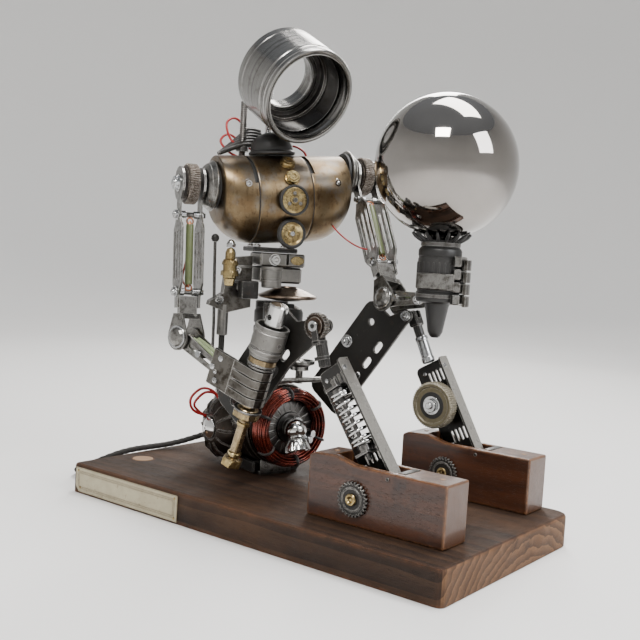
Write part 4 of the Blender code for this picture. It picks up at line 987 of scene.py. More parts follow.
def plank_details():
    """Name plate with a plain border and four pins, and a dark disc of painted shade for the nail hole in the
    plank's top.
    """
    low, high, start, end, clip = 1.5, 25, 60, 200, 5
    outline = [(start, low), (end - clip, low), (end, low + clip), (end, high), (start + 1, high),
               (start, high - 1)]
    side = at(-110.3, 0, 0) @ SIDE_OUT
    shapes = [(prism(outline, 0, 0.8), side)]
    for inset, wide in ((3.2, 0.55), (5, 0.3)):
        def rim(grow):
            return [(start + grow, low + grow), (end - clip - grow * 0.4, low + grow),
                    (end - grow, low + clip + grow * 0.4), (end - grow, high - grow),
                    (start + grow, high - grow)]
        shapes.append((prism(rim(inset), 0.7, 1, [rim(inset + wide)[::-1]]), side))
    plate = piece("name_plate_face", shapes, "label_plate", replaces=("name_plate",))
    cut_back = plate.modifiers.new("soft_edge", "BEVEL")
    cut_back.width = 0.15 * MM
    cut_back.limit_method = "ANGLE"
    pins = []
    for y, z in ((63.5, 4.5), (63.5, 22), (193, 6), (196.5, 22)):
        pins.append((lathe([(0, 0.7), (1.3, 0.7), (1.1, 1.2), (0.6, 1.5), (0, 1.6)], 14), side @ at(y, z, 0)))
    piece("name_plate_pins", pins, "brass")
    # painted shade: a dark disc on the plank's top stands for the nail hole
    hole = [(washer(1.9, 0.9, 28.02, 28.16, 20), at(-6.8, 138, 0)),
            (lathe([(0, 28.02), (0.9, 28.02), (0.9, 28.06), (0, 28.06)], 16), at(-6.8, 138, 0))]
    piece("nail_hole_shade", hole, "wheel_rubber")


def foot_details(side):
    """What sits in and on a plane body: its mouth lining, wedge bar, cross pin, eyelet, cog and plugs."""
    corner = FEET[side]
    wide, long, tall = FOOT_SIZE
    wall = 5.5
    middle = wide / 2
    shapes = [(prism([(62, tall - 25.7), (106, tall - 25.7), (106, tall - 24.9), (62.6, tall - 24.9)],
                     wall + 0.2, wide - wall - 0.2), SIDE_ON)]
    shapes.append(box((wall + 0.2, 40.6, tall - 0.9), (wide - wall - 0.2, 47, tall + 0.5), 0.3))
    shapes.append((disc(1.6, -0.8, wide + 0.8, 18, 0.3), at(0, 52.5, tall - 5) @ X_AXIS))
    piece(f"{side}_foot_iron", shapes, "black_steel", at(*corner))
    rim = lathe([(1.6, 2.6), (3.4, 2.6), (4.6, 3.4), (5, 4.6), (4.3, 5.4), (3, 5.6), (2, 4.9), (1.6, 4)], 28)
    core = lathe([(0, 3), (1.5, 3), (1.3, 4.4), (0, 4.6)], 18)
    eye = moved([rim, core], at(-0.3, 83, 22) @ X_BACK)
    piece(f"{side}_foot_eyelet", eye, "brass", at(*corner))
    teeth = [gear(14.3, 26, 1.9, 0, 3, 0.5), washer(9.8, 8.6, 2.9, 3.7, 32)]
    piece(f"{side}_foot_cog", teeth, "black_steel", at(corner.x - 0.3, corner.y + 83, DECK + 22) @ X_BACK,
          replaces=(f"{side}_foot_gear",))
    plug_hole = [(disc(2.4, tall - 0.02, tall + 0.25, 18, 0.1), at(middle, 14, 0)),
                 (disc(2.4, tall + 1.6, tall + 5.1, 18, 0.4), at(middle, long - 16, 0))]
    piece(f"{side}_foot_plugs", plug_hole, "inlay", at(*corner))


# ---------------------------------------------------------------- legs

def spring_and_plates():
    """The right shin's spring between its seats, both shins' rivets and the left knee's sleeve."""
    centre = (-5, 13.6)
    coil = tube(helix(8, 22, 66, 9, 18, centre), 1.25, 10)
    piece("right_shin_coil", coil, "chrome", RIGHT_SHIN, replaces=("right_shin_spring",), sharp=60)
    seats = [(disc(5.6, 15.5, 20.6, 24), at(*centre, 0)), (disc(5.6, 67.4, 71, 24), at(*centre, 0)),
             (disc(2, 8, 80, 16), at(*centre, 0)), box((-13.5, 7.2, 71.2), (4.6, 20, 73.4), 0.4),
             box((-13.5, 7.2, 12.8), (4.6, 20, 15.2), 0.4)]
    piece("right_shin_seats", seats, DARK_STEEL, RIGHT_SHIN)
    for name, place, high in (("right", RIGHT_SHIN, 93), ("left", LEFT_SHIN, 84)):
        rivets = []
        for y, z in ((27.5, 6), (27.5, high - 8), (4, high - 27), (4, 24)):
            rivets.append((lathe([(0, 0), (2.3, 0), (2.1, 0.7), (1.2, 1.3), (0, 1.5)], 16),
                           at(4.95, y, z) @ X_BACK))
        rivets.append((lathe([(0, 0), (2.2, 0), (1.9, 0.8), (0, 1.3)], 16), at(-3, -0.05, high - 9) @ Y_BACK))
        piece(f"{name}_shin_rivets", rivets, ZINC, place)
    rod = lathe([(4.7, -1), (6, -0.6), (6.2, 0.4), (6.2, 3.6), (5.7, 4.2), (5.7, 20), (6.2, 20.6), (6.2, 23.4),
                 (5.6, 24.6), (4.7, 25)], 32)
    piece("left_knee_sleeve", rod, ZINC, along((84, -65.3, 146.9), (84, -46.5, 187)))


def big_wheel():
    """The left shin's wheel: a knurled rim, a dished face, and a plated nut on its bolt."""
    rim = [gear(21.5, 60, 0.75, -17.5, -7.6, 0.9)]
    face = lathe([(16.5, -17.6), (17.5, -18.4), (19.6, -18.4), (20.2, -17.4), (19, -16.6), (16.5, -16.4)], 60)
    rim.append(face)
    dish = [washer(16.4, 9, -17.2, -16.6, 60), washer(12.4, 8, -17.9, -16.8, 48)]
    piece("left_shin_dish", dish, "wheel_rubber", LEFT_SHIN @ at(0, 20, 44) @ X_AXIS, body="shin_wheel")
    piece("left_shin_knurl", rim, "khaki_wheel", LEFT_SHIN @ at(0, 20, 44) @ X_AXIS, body="shin_wheel",
          replaces=("left_shin_wheel",))
    nut = moved(bolt(11.5, 3.4, 8.6, 2.2), LEFT_SHIN @ at(0, 20, 44) @ X_BACK @ at(0, 0, 17.6))
    piece("left_shin_nut", nut, ZINC, body="shin_wheel")


def knee_details():
    """The right knee's knurled hub and fork, and the bolts and nuts at the knees, thighs and hips."""
    hub = moved([gear(11.3, 30, 1.2, -3, 3, 0.5), washer(7.6, 3, -3.8, -2.8)], at(-58, -40.6, 181.4) @ X_AXIS)
    piece("right_knee_knurl", hub, "brown_wheel")
    fork = [box((-5.6, -3.2, 20), (-3.6, 3.2, 36.6), 0.6), box((3.6, -3.2, 20), (5.6, 3.2, 36.6), 0.6),
            box((-5.6, -4.4, 18.6), (5.6, 4.4, 22.4), 0.6), washer(6.4, 4.6, 6, 9)]
    piece("right_knee_fork", fork, "black_steel", along((-58, -50, 147.9), (-58, -40.6, 181.4)))
    pin = moved([washer(4.6, 2.2, 0, 1.2, 28)], at(-63.4, -40.6, 181.4) @ X_BACK)
    pin += moved(bolt(7.5, 3, 5.2, 1.2), at(68.4, -46.5, 188.5) @ X_BACK)
    piece("knee_nuts", pin, ZINC)
    thigh_bolt = moved(bolt(8, 3.2, 6.4, 3), at(69.6, 20.2, 158) @ X_BACK)
    thigh_bolt += moved(bolt(7, 3, 5.4, 1.6), at(-46.4, 30.5, 136.8) @ X_BACK)
    hip = MOTOR_FRAME @ at(0, -44, 120.5)
    thigh_bolt += moved(bolt(9, 3.6, 6.6, 1.4), hip @ at(-66, 0, 0) @ X_BACK)
    thigh_bolt += moved(bolt(9, 3.6, 6.6, 1.4), hip @ at(84, 0, 0) @ X_AXIS)
    piece("leg_bolts", thigh_bolt, ZINC)


# ---------------------------------------------------------------- motor

def windings():
    """The varnished copper winding: many strands round the ring, tied with black sleeving."""
    rng = random.Random(SEED)
    shape = [(27.5, -50.5), (29, -53.5), (31.5, -55.2), (34, -54.6), (36, -52), (36.6, -48.5), (36.4, -44.5),
             (36, -40.5), (27.6, -46.5), (28, -42.5)]
    core = [(28.6, -50), (31, -53.6), (34, -53.4), (35.6, -49.5), (35.2, -36), (31.6, -34.8), (28.8, -38)]
    piece("winding_core", lathe(core, 64), "copper_coil", MOTOR_AXIS, replaces=("stator_coil",))
    strands = []
    for radius, z in shape:
        for spread in (-0.9, 0.9):
            waves = [(rng.uniform(-0.5, 0.5), rng.randint(2, 5), rng.uniform(0, 6.3)) for _ in range(3)]
            points = []
            for k in range(64):
                a = tau * k / 64
                wobble = sum(size * sin(count * a + phase) for size, count, phase in waves)
                r = radius + 0.35 * spread + 0.5 * wobble
                points.append((r * cos(a), r * sin(a), z + spread * 0.8 + 0.7 * wobble))
            strands.append(tube(points, 0.85, 6, closed=True))
    piece("winding_strands", strands, "copper_coil", MOTOR_AXIS, sharp=70)
    ties = []
    for k in range(6):
        a = tau * (k + 0.35) / 6
        ring = [(26.6, -50), (28, -54.6), (31.5, -56.6), (35.2, -55.4), (37.7, -50.5), (37.6, -41)]
        points = [(r * cos(a), r * sin(a), z) for r, z in ring]
        ties.append(tube(smooth_route(points, 4), 1.3, 8))
    piece("winding_ties", ties, BLACK_TUBE, MOTOR_AXIS, sharp=70)


def rotor_and_housing():
    """The housing with its bands, ribs, vents, bolts, side cover and foot flange, and the rotor's face."""
    r = MOTOR_RADIUS
    shell = [(0, -34), (r - 12, -34), (r - 10.5, -33.6), (r - 2.4, -30.4), (r - 0.6, -28.4), (r, -26.4),
             (r, 37.2), (r - 0.5, 39.4), (r - 3, 45), (r - 5, 49.8), (r - 8, 54), (r - 14, 58.6),
             (r - 22, 62.6), (11, 65.4), (9.4, 66), (9, 66.8), (9, 70.2), (8.2, 71), (0, 71)]
    piece("motor_shell", lathe(shell, 96), "motor_black", MOTOR_AXIS, replaces=("motor_housing",))
    rotor = [lathe([(0, -36), (24.5, -36), (25.5, -37), (25.5, -44.5), (24, -45.5), (15, -45.5), (14, -47.5),
                    (9, -47.5), (8, -53), (0, -53)], 56)]
    for k in range(18):
        rotor.append((box((-0.9, 15.8, -46.3), (0.9, 24.6, -44), 0.3), spin(tau * k / 18)))
    piece("motor_rotor", rotor, DARK_STEEL, MOTOR_AXIS)
    bands = []
    for z in (-24.5, -8, 12, 31):
        bands.append(washer(r + 0.7, r - 1, z, z + 1.5, 72))
    bands.append(washer(r - 0.8, r - 3.6, -33.8, -31.2, 72))
    for k in range(7):
        a = 170 + 11 * k
        rib = [(r - 0.5, -20), (r + 1.6, -18), (r + 1.8, -2), (r + 1.8, 24), (r - 0.5, 28)]
        outline = prism([(z, x) for x, z in rib], -1.1, 1.1)
        bands.append((outline, spin(radians(a)) @ RIB_ON))
    piece("motor_bands", bands, "motor_black", MOTOR_AXIS)
    vents = []
    for k in range(10):
        a = tau * k / 10
        vents.append((disc(2.2, 56.6, 60.4, 16), spin(a) @ at(25, 0, 0)))
    piece("motor_vents", vents, "wheel_rubber", MOTOR_AXIS)
    bolts = []
    for a in (38, 142, 218, 322):
        spot = spin(radians(a)) @ at(r - 6.5, 0, 0)
        bolts += moved(bolt(6, 2.6, 4.2, 1.2), MOTOR_AXIS @ spot @ at(0, 0, 49, 0, 0, 28))
    side = MOTOR_FRAME @ at(MOTOR.x - r - 9.6, 20, 66) @ X_BACK
    dome = [(0, 0), (9.8, 0), (10.4, 0.8), (10.2, 2), (8.6, 3.6), (5.6, 5), (2.4, 5.7), (2.2, 5), (0, 4.9)]
    bolts.append((lathe(dome, 44), side))
    piece("motor_bolts", bolts, "chrome")
    cover = [(0, -16), (29, -16), (29.4, -3), (28, 1), (23, 6), (16, 8.6), (12.6, 9.3), (12.2, 8.6), (0, 8.6)]
    shapes = [lathe(cover, 56)]
    for k in range(12):
        shapes.append((tube([(29, 0, -10), (28.6, 0, 0.6), (23.4, 0, 6.4), (15.6, 0, 9.2)], 1.1, 8),
                       spin(tau * k / 12)))
    piece("motor_side_cover", shapes, "motor_black", side @ at(0, 0, -8.7))
    flange = [box((-22, -33.5, 28.3), (12, -26.4, 31.4), 0.6), box((-22, -33.6, 28.6), (12, -31.6, 43), 0.6)]
    for x, z in ((-16, 37), (6, 37)):
        flange.append((lathe([(0, 0), (2.6, 0), (2.3, 1.1), (0, 1.8)], 18), at(x, -33.5, z) @ Y_BACK))
    piece("motor_flange", flange, "steel", MOTOR_FRAME @ at(MOTOR.x, 0, 0))


def pinion_details():
    """The bevel wheel's long round-backed teeth, its dome's cap and a wing nut behind it."""
    place = MOTOR_FRAME @ at(6, -61, 71, 0, -20)
    rings = []
    for z, tip, root in ((-15, 11.4, 8.6), (-14.2, 12.2, 9), (-9.5, 11.1, 7.6), (-4.4, 8.4, 6.4), (-3.4, 7, 6)):
        ring = []
        for k in range(14):
            for share, mix in ((0, 0), (0.14, 0.1), (0.3, 0.92), (0.5, 1), (0.7, 0.92), (0.86, 0.1)):
                a = tau * (k + share) / 14
                r = root + (tip - root) * mix
                ring.append((r * cos(a), r * sin(a), z))
        rings.append(ring)
    dome = [(0, -7), (5.2, -7), (5.6, -3.4), (6.6, -1.6), (9.4, 0.2), (10.6, 2.2), (11, 4.8), (10.5, 7.6),
            (9.2, 10.4), (7.2, 12.8), (4.8, 14.4), (3.2, 15), (3, 14.4), (1.4, 14.6), (1.2, 15.4), (0, 15.5)]
    shapes = [loft(rings), lathe(dome, 48), washer(8.4, 5, -2.6, -1.4, 40)]
    piece("bevel_pinion", shapes, "chrome", place, body="pinion", replaces=("drive_pinion",))
    stud = moved(bolt(12, 3.4, 0), MOTOR_AXIS @ at(2, -5, -53) @ Matrix.Rotation(pi, 4, "X"))
    wing = MOTOR_FRAME @ at(20, -57, 66, 20)
    stud.append((lathe([(0, 0), (4.6, 0), (4, 5), (3, 6), (0, 6)], 20), wing @ Y_BACK))
    for s in (-1, 1):
        ear = arc(s * 7.5, 3.6, 330, 15)
        stud.append((prism(ear, 1.4, 3.2), wing @ Y_BACK @ at(0, s * 1.2, 0, s * 24)))
    piece("motor_stud_nuts", stud, ZINC)


def hip_details():
    """The pulley's turned face and its screw."""
    place = MOTOR_FRAME @ at(27, -28, 128)
    profile = [(0, -13), (3.6, -13), (3.6, 0), (9, 0), (9, 3.6), (11, 5.2), (14, 6), (14.6, 6.6), (14.6, 9),
               (14.2, 9.6), (13.2, 9.6), (12.7, 9), (12.2, 7.6), (8, 7.2), (7.6, 7.8), (4.2, 7.8), (3.8, 7),
               (0, 7)]
    piece("hip_pulley_face", lathe(profile, 56), "steel", place, replaces=("hip_pulley",))
    screw = moved(bolt(5.6, 1.8, 0, 0.8), place @ at(0, 0, 7))
    piece("hip_pulley_screw", screw, ZINC)


def red_wire(name, points, radius):
    piece(name, tube(smooth_route(points), radius, 9), RED_WIRE, sharp=70)


def motor_wires():
    """Two red loops that stand out to the motor's right."""
    for name, grow, lift in (("red_loop_outer", 0, 0), ("red_loop_inner", -4.5, -4)):
        loop = ((-29, 26, 78 + lift), (-40 - grow, 30, 76 + lift), (-56 - grow, 30, 82),
                (-61 - grow, 27, 94 + lift), (-52 - grow, 24, 104 + lift), (-40 - grow, 24, 102 + lift),
                (-30, 24, 92 + lift), (-27, 22, 86 + lift))
        red_wire(name, [point(MOTOR_FRAME, *p) for p in loop], 1.3)


# ---------------------------------------------------------------- waist

def waist_details():
    """The waist's barrel, nuts, brass trim, side lug and rods, and the pelvis's post, bracket and dish."""
    cylinder = [(0, 206.5), (9, 206.5), (9.6, 207.2), (9.6, 213), (9, 213.5), (9, 215), (9.6, 215.5),
                (9.6, 223.4), (10.4, 224), (10.4, 226.1), (10, 226.6), (0, 226.6)]
    piece("waist_barrel", lathe(cylinder, 48), "cast_alloy", TORSO_FRAME @ at(-2, -21, 0),
          replaces=("waist_cylinder",))
    parts = []
    for x, y in ((-14, -9), (20, -9), (-14, 9), (20, 9)):
        parts += moved(bolt(6.4, 2.2, 0, 0, 1), TORSO_FRAME @ at(x, y, 245))
    parts += moved(bolt(8.4, 3.4, 5.8, 2), TORSO_FRAME @ at(2, -16, 233.5) @ Y_BACK)
    parts += moved(acorn(8, 7.4), TORSO_FRAME @ at(-42, -14, 243))
    parts += moved(bolt(6.4, 2.6, 4.6, 1.2), TORSO_FRAME @ at(-30, 0.9, 222) @ Y_BACK)
    parts += moved(bolt(6.4, 2.6, 4.6, 1.2), TORSO_FRAME @ at(-46, 0.9, 192) @ Y_BACK)
    piece("waist_nuts", parts, "chrome")
    oval = [(x * 7, y * 4.2) for x, y in arc(0, 1, 345, 23)]
    inlay = [(prism(oval, 0, 1), TORSO_FRAME @ at(25.5, -16, 233.6) @ Y_BACK),
             (hexagon(15, 0, 5), TORSO_FRAME @ at(-42, -14, 216)),
             (hexagon(13.6, 0, 4), TORSO_FRAME @ at(-42, -14, 226))]
    piece("waist_brass_trim", inlay, "brass")
    lug = [(washer(5.6, 2.4, -2, 2), TORSO_FRAME @ at(-25, -2.4, 206) @ Y_AXIS),
           (box((-37, -2.6, 209), (-16, 0.9, 212), 0.6), TORSO_FRAME),
           (box((-37, -2.6, 224), (-16, 0.9, 226.6), 0.6), TORSO_FRAME),
           (disc(5.4, 158, 188, 24, 0.6), TORSO_FRAME @ at(-40, 6, 0))]
    piece("waist_side_lug", lug, "cast_alloy")
    rod = [tube([(-54, -2, 249), (-52, 1, 214), (-49, 5, 170), (-47, 10, 118)], 1.5, 10),
           (lathe([(0, -4), (2.6, -3.4), (3.9, -1), (3.6, 1.6), (2, 3.4), (0, 4)], 20), at(-54, -2, 251)),
           tube([(-40, 6, 158), (-40, 6, 116)], 3, 16)]
    piece("waist_rod", rod, "black_steel", TORSO_FRAME)
    post = [(0, 118), (16.2, 118), (17, 118.8), (17, 133.4), (16.6, 134.4), (13.6, 137.4), (13, 138.6)]
    for z in (145, 151, 157, 163, 169):
        post += [(13, z), (13.9, z + 0.8), (13.9, z + 2.6), (13, z + 3.4)]
    post += [(13, 175.4), (15.6, 179.4), (16, 180.4), (16, 192.2), (15.2, 193), (0, 193)]
    piece("pelvis_post", lathe(post, 56), "black_steel", TORSO_FRAME @ at(8, 0, 0),
          replaces=("pelvis_casting",))
    plate = [(0, 159), (20, 159), (23.4, 160.6), (24, 163), (24, 168), (22.8, 169.2), (22.8, 171), (24, 172.2),
             (24, 183), (22, 187), (17, 189.4), (0, 189.4)]
    black = [(lathe(plate, 56), at(14, -4, 0)), box((-30, -18, 195), (-13, -4, 212), 1.4),
             box((-8, -25, 176), (22, -18, 192), 1)]
    for x in (-2, 14):
        black.append((lathe([(0, 0), (3.4, 0), (3.2, 1.4), (2, 2.4), (0, 2.6)], 20),
                      at(x, -24.8, 184) @ Y_BACK))
    piece("pelvis_bracket", black, "black_steel", TORSO_FRAME)
    dish = [(0, 193.4), (14, 194.6), (26.4, 196.6), (27.8, 197), (28.5, 198), (28.5, 199.2), (27.8, 200),
            (26, 200.6), (22, 202.6), (17, 204.8), (12, 206.6), (8.6, 207.4), (8.2, 208.2), (4, 208.5),
            (0, 208.5)]
    piece("pelvis_dish", lathe(dish, 72), SKIRT, TORSO_FRAME @ at(19, -12, 0), replaces=("pelvis_skirt",))


# ---------------------------------------------------------------- torso

def dials():
    """The upper dial with three screws, and the lower wheel that turns on its centre screw."""
    upper = BARREL @ at(-3, -44.6, -2) @ Y_BACK
    rim = lathe([(0, 0), (13.4, 0), (14.4, 1), (14.4, 3.8), (13.8, 4.6), (12.8, 4.8), (12.2, 4.2), (12, 3.2),
                 (0, 3.2)], 64)
    piece("upper_dial_rim", rim, "wheel_rubber", upper, replaces=("chest_dial",))
    face = [lathe([(0, 3.1), (11.9, 3.1), (11.9, 3.9), (11.2, 4.2), (8, 3.7), (4.6, 3.7), (4, 4.6), (0, 4.6)],
                  56)]
    for k in range(24):
        face.append((box((-0.25, 8.6, 3.7), (0.25, 10.8, 4.25), 0.1), spin(tau * k / 24)))
    piece("upper_dial_face", face, "brass", upper)
    screws = []
    for k in range(3):
        a = radians(90 + 120 * k)
        screws.append((washer(1.7, 0.7, 3.7, 5.3, 18), at(6.4 * cos(a), 6.4 * sin(a), 0)))
        screws.append((disc(0.75, 3.7, 4.6, 12, 0.1), at(6.4 * cos(a), 6.4 * sin(a), 0)))
    screws.append(hexagon(4.4, 4.5, 6.2))
    piece("upper_dial_screws", screws, DARK_STEEL, upper)

    lower = BARREL @ at(-4, -37.5, -33) @ Y_BACK
    tyre = lathe([(11, 0.4), (13, 0.2), (14, 1.4), (14.3, 2.9), (14, 4.4), (13, 5.6), (11.6, 5.9), (10.8, 5.2)],
                 64)
    piece("lower_wheel_tyre", tyre, "wheel_rubber", lower, body="chest_wheel")
    dish = [lathe([(0, 0), (11.2, 0), (11.2, 5.2), (10.4, 5), (9.4, 4), (6, 3.2), (3.6, 3.5), (3.2, 4.4),
                   (0, 4.4)], 56)]
    for k in range(5):
        a = tau * k / 5
        dish.append((washer(1.4, 0.7, 3.2, 3.9, 16), at(6.6 * cos(a), 6.6 * sin(a), 0)))
    piece("lower_wheel_dish", dish, "brass", lower, body="chest_wheel", replaces=("chest_wheel",))
    centre = [lathe([(0, 4.2), (2.6, 4.2), (2.6, 5.6), (2.1, 6.4), (0.5, 6.4), (0.5, 5.8), (0, 5.8)], 24)]
    piece("lower_wheel_screw", centre, ZINC, lower, body="chest_wheel")


def torso_radius(t):
    """The barrel keeps its radius along the middle and falls away by 10 at its ends."""
    return TORSO_TOP - 10 * (abs(t) / TORSO_HALF) ** 5


def torso_shells():
    """The barrel's three lengths, turned smooth, each with rolled ends, and the two slots beside the seams,
    their floors lined dark as painted shade.
    """
    sides = 128
    roll = ((0, 0.9), (0.2, 0.4), (0.7, 0.1), (1.1, 0))
    for name, low, high in TORSO_PARTS:
        notch = SEAM_SLOTS.get(name, (0, 0, 0, 0))
        stations = [(low + t, ease) for t, ease in roll]
        stations += [(low + (high - low) * k / 24, 0) for k in range(1, 24)]
        stations += [(high - t, ease) for t, ease in reversed(roll)]
        ends = [edge + t for edge in notch[:2] for t in (-0.1, 0.1)]
        stations += [(t, 0) for t in ends if low + 1.1 < t < high - 1.1]
        rings = []
        for t, ease in sorted(stations):
            r = torso_radius(t)
            ring = []
            for k in range(sides):
                a = tau * k / sides
                cut = notch[0] < t < notch[1] and notch[2] < degrees(a) < notch[3]
                reach = r - ease - (SLOT_DEPTH if cut else 0)
                ring.append((t, reach * cos(a), TORSO_TOP - r + reach * sin(a)))
            rings.append(ring)
        piece(f"torso_{name}_barrel", loft(rings), "torso_brass", BARREL, replaces=(f"torso_{name}_shell",))
    # painted shade: a dark lining laid over each slot's floor
    slot_shade_linings = []
    for low, high, start, end in SEAM_SLOTS.values():
        rings = []
        for k in range(25):
            a = radians(start + (end - start) * k / 24)
            ring = []
            for t, inset in ((low, 4), (low, SLOT_DEPTH - 0.1), (high, SLOT_DEPTH - 0.1), (high, 4)):
                r = torso_radius(t)
                ring.append((t, (r - inset) * cos(a), TORSO_TOP - r + (r - inset) * sin(a)))
            rings.append(ring)
        slot_shade_linings.append(loft(rings))
    piece("torso_slot_shade", slot_shade_linings, "wheel_rubber", BARREL)


def torso_details():
    """Acorn nuts at the ends, brass nuts in front, dark seam hoops, shoulder cups and the thin red wire."""
    nuts = []
    for x, z, lean in ((-56.5, 17, -30), (55, 17.5, 30)):
        nuts += moved(acorn(9, 8.6), BARREL @ at(x, -6, z + 12, 0, 20, lean))
    for x in (-44, 46):
        nuts += moved(bolt(6, 2.4, 4.4, 1), BARREL @ at(x, -36.2, 14) @ Y_BACK)
    piece("torso_chrome_nuts", nuts, "chrome")
    fronts = []
    for y, z, tilt in ((-27, 32.4, 42), (-38, 18.6, 65)):
        spot = BARREL @ at(-1, y, z, 0, tilt)
        fronts += moved([washer(7.4, 3, 0, 0.9, 32), hexagon(12.4, 0.8, 4.2), washer(4.6, 2.2, 4.1, 5.4, 28),
                         disc(2.3, 0.6, 4.6, 16)], spot)
    piece("torso_brass_nuts", fronts, "brass")
    hoops = []
    for t in (-34, 20):
        r = torso_radius(t)
        hoop = [(r - 2, -0.25), (r - 0.35, -0.25), (r - 0.35, 0.25), (r - 2, 0.25)]
        hoops.append((lathe(hoop, 72), at(t, 0, TORSO_TOP - r) @ X_AXIS))
    for sign, z in ((-1, 7.5), (1, 30)):
        end = TORSO_FRAME @ at(TORSO.x, 0, TORSO.z + z) @ sideways(sign)
        hoops.append((washer(21, 15, 64.6, 67.6, 56), BARREL.inverted() @ end))
    piece("torso_seams", hoops, "wheel_rubber", BARREL)
    cups = []
    for sign, height in ((-1, 299.5), (1, 322)):
        end = TORSO_FRAME @ at(TORSO.x, 0, height) @ sideways(sign)
        profile = [(0, 67.8), (22.6, 67.8), (23.6, 68.6), (23.7, 69.6), (23, 70.4), (21, 72.8), (20.6, 73.2),
                   (20.8, 73.8), (18.6, 76.3), (17.8, 76.7), (0, 76.7)]
        cups.append((lathe(profile, 64), end))
    piece("shoulder_cups", cups, "steel", replaces=("right_shoulder_cup", "left_shoulder_cup"))
    route = ((42, -27, -23), (48, -33, -33), (58, -36, -42), (68, -39, -48), (75.5, -42, -50))
    red_wire("chest_wire", [point(BARREL, *p) for p in route], 0.8)


# ---------------------------------------------------------------- neck and head

def neck():
    """The cap on the barrel, threaded rods with nuts, and the sleeves and wires that fan out behind."""
    dome = [(0, 0), (21.4, 0), (22.3, 0.8), (22.5, 2.4), (21.6, 3.6), (20.6, 4.4), (20.4, 7), (19.6, 10.6),
            (17.8, 14.2), (15, 17.2), (11.4, 19.4), (7, 21.1), (3, 21.9), (0, 22)]
    piece("neck_cap", lathe(dome, 72), "black_plastic", BARREL @ at(-6, 0, 42.4), replaces=("neck_dome",))
    rods = {"right": (-26.5, 14, 331, 384, DARK_STEEL, (336,)), "left": (4, 27, 329, 424, ZINC, (335, 343))}
    nuts = []
    for name, (x, y, low, high, look, heights) in rods.items():
        spot = point(TORSO_FRAME, x, y, 0)
        piece(f"neck_screw_{name}", threaded(3.6, low, high, 1.8, 0.7, 16), look, at(spot.x, spot.y, 0),
              replaces=(f"neck_rod_{name}",), sharp=50)
        for z in heights:
            nuts += moved([hexagon(11, 0, 5)], at(spot.x, spot.y, z))
    piece("neck_nuts", nuts, DARK_STEEL)

    def neck_point(*p):
        return point(TORSO_FRAME, *p)
    sleeves, tips = [], []
    for k in range(6):
        start = neck_point(-6, 12 + 2.2 * k, 343 + 3 * k)
        bend = neck_point(-26 + 1.5 * k, 11 + 2 * k, 342 + 3.2 * k)
        end = neck_point(-51 + 4 * k, 7 + 3.2 * k, 332 + 3 * k)
        sleeves.append(tube(smooth_route([start, bend, end], 8), 2.3, 14))
        tips.append((disc(1.9, -1, 2.2, 16, 0.3), along(end, end + (end - bend))))
    piece("neck_sleeves", sleeves, BLACK_TUBE, sharp=60)
    piece("neck_sleeve_tips", tips, DARK_STEEL)
    wires = {"high": [(0, 22, 336), (-12, 26, 352), (-30, 24, 368), (-42, 18, 362), (-38, 14, 346),
                      (-22, 12, 337)],
             "low": [(-4, 24, 335), (-20, 26, 344), (-38, 22, 352), (-48, 16, 344), (-40, 12, 334),
                     (-28, 10, 329)],
             "right": [(12, 18, 334), (24, 14, 346), (34, 6, 342), (38, 2, 333)]}
    for name, points in wires.items():
        red_wire(f"neck_wire_{name}", [neck_point(*p) for p in points], 1.2)


def head():
    """The turned ring: grooves behind its front rim, a stepped bore and a weld line along its side."""
    r, length = HEAD_RADIUS, HEAD_LENGTH
    profile = [(r - 1.5, 0), (r - 0.4, 0.4), (r, 1.5), (r, 9), (r - 0.3, 9.4), (r - 0.3, 10.2), (r, 10.6),
               (r, length - 14), (r - 0.6, length - 13.4), (r - 0.9, length - 12.4), (r - 0.9, length - 10.6),
               (r - 0.5, length - 9.8), (r, length - 9.2), (r, length - 5.6), (r - 0.4, length - 5.2),
               (r - 0.4, length - 4.6), (r, length - 4.2), (r, length - 1.4), (r - 0.4, length - 0.4),
               (r - 1.2, length), (r - 4.2, length), (r - 5, length - 0.4), (r - 5.4, length - 1.4),
               (r - 5.8, length - 8), (r - 5.5, length - 8.6), (r - 6.2, 26), (r - 7.4, 23.6), (r - 10, 22.6),
               (r - 10, 15.6), (r - 10.8, 14.6), (r - 18.4, 14.2), (r - 19, 13.6), (r - 19, 0.6), (r - 18.2, 0)]
    piece("head_shell", lathe(profile, 128), TURNED, head_frame(), body="head", replaces=("head_ring",))
    bits = [washer(35.2, 31, 15.2, 16.8, 96), washer(30, 27, 14.6, 16, 96)]
    liner = [(r - 6.5, length - 14), (r - 6.3, length - 14.4), (r - 6.5, 26.4), (r - 7.7, 24), (r - 10.3, 22.9),
             (r - 10.3, 16.9), (r - 10.7, 16.9), (r - 10.7, 23.4), (r - 8.4, 24.4), (r - 7.3, 26.8),
             (r - 7, length - 14)]
    piece("head_liner", lathe(liner, 128), BORE, head_frame(), body="head")
    for k in range(3):
        a = radians(20 + 120 * k)
        bits += moved([washer(1.9, 0.9, 14.4, 15.9, 18), disc(1, 14.2, 15, 12, 0.1)],
                      at(29 * cos(a), 29 * sin(a), 0))
    piece("head_bore_rings", bits, DARK_STEEL, head_frame(), body="head")
    weld = [(r + 0.12, 12 + 2 * k, 0.28 if k % 2 else 0.36) for k in range(16)]
    line = [Vector((x * cos(-2.3), x * sin(-2.3), z)) for x, z, _ in weld]
    piece("head_seam", tube(line, [w for _, _, w in weld], 8), "chrome", head_frame(), body="head", sharp=80)


# ---------------------------------------------------------------- arms and hands

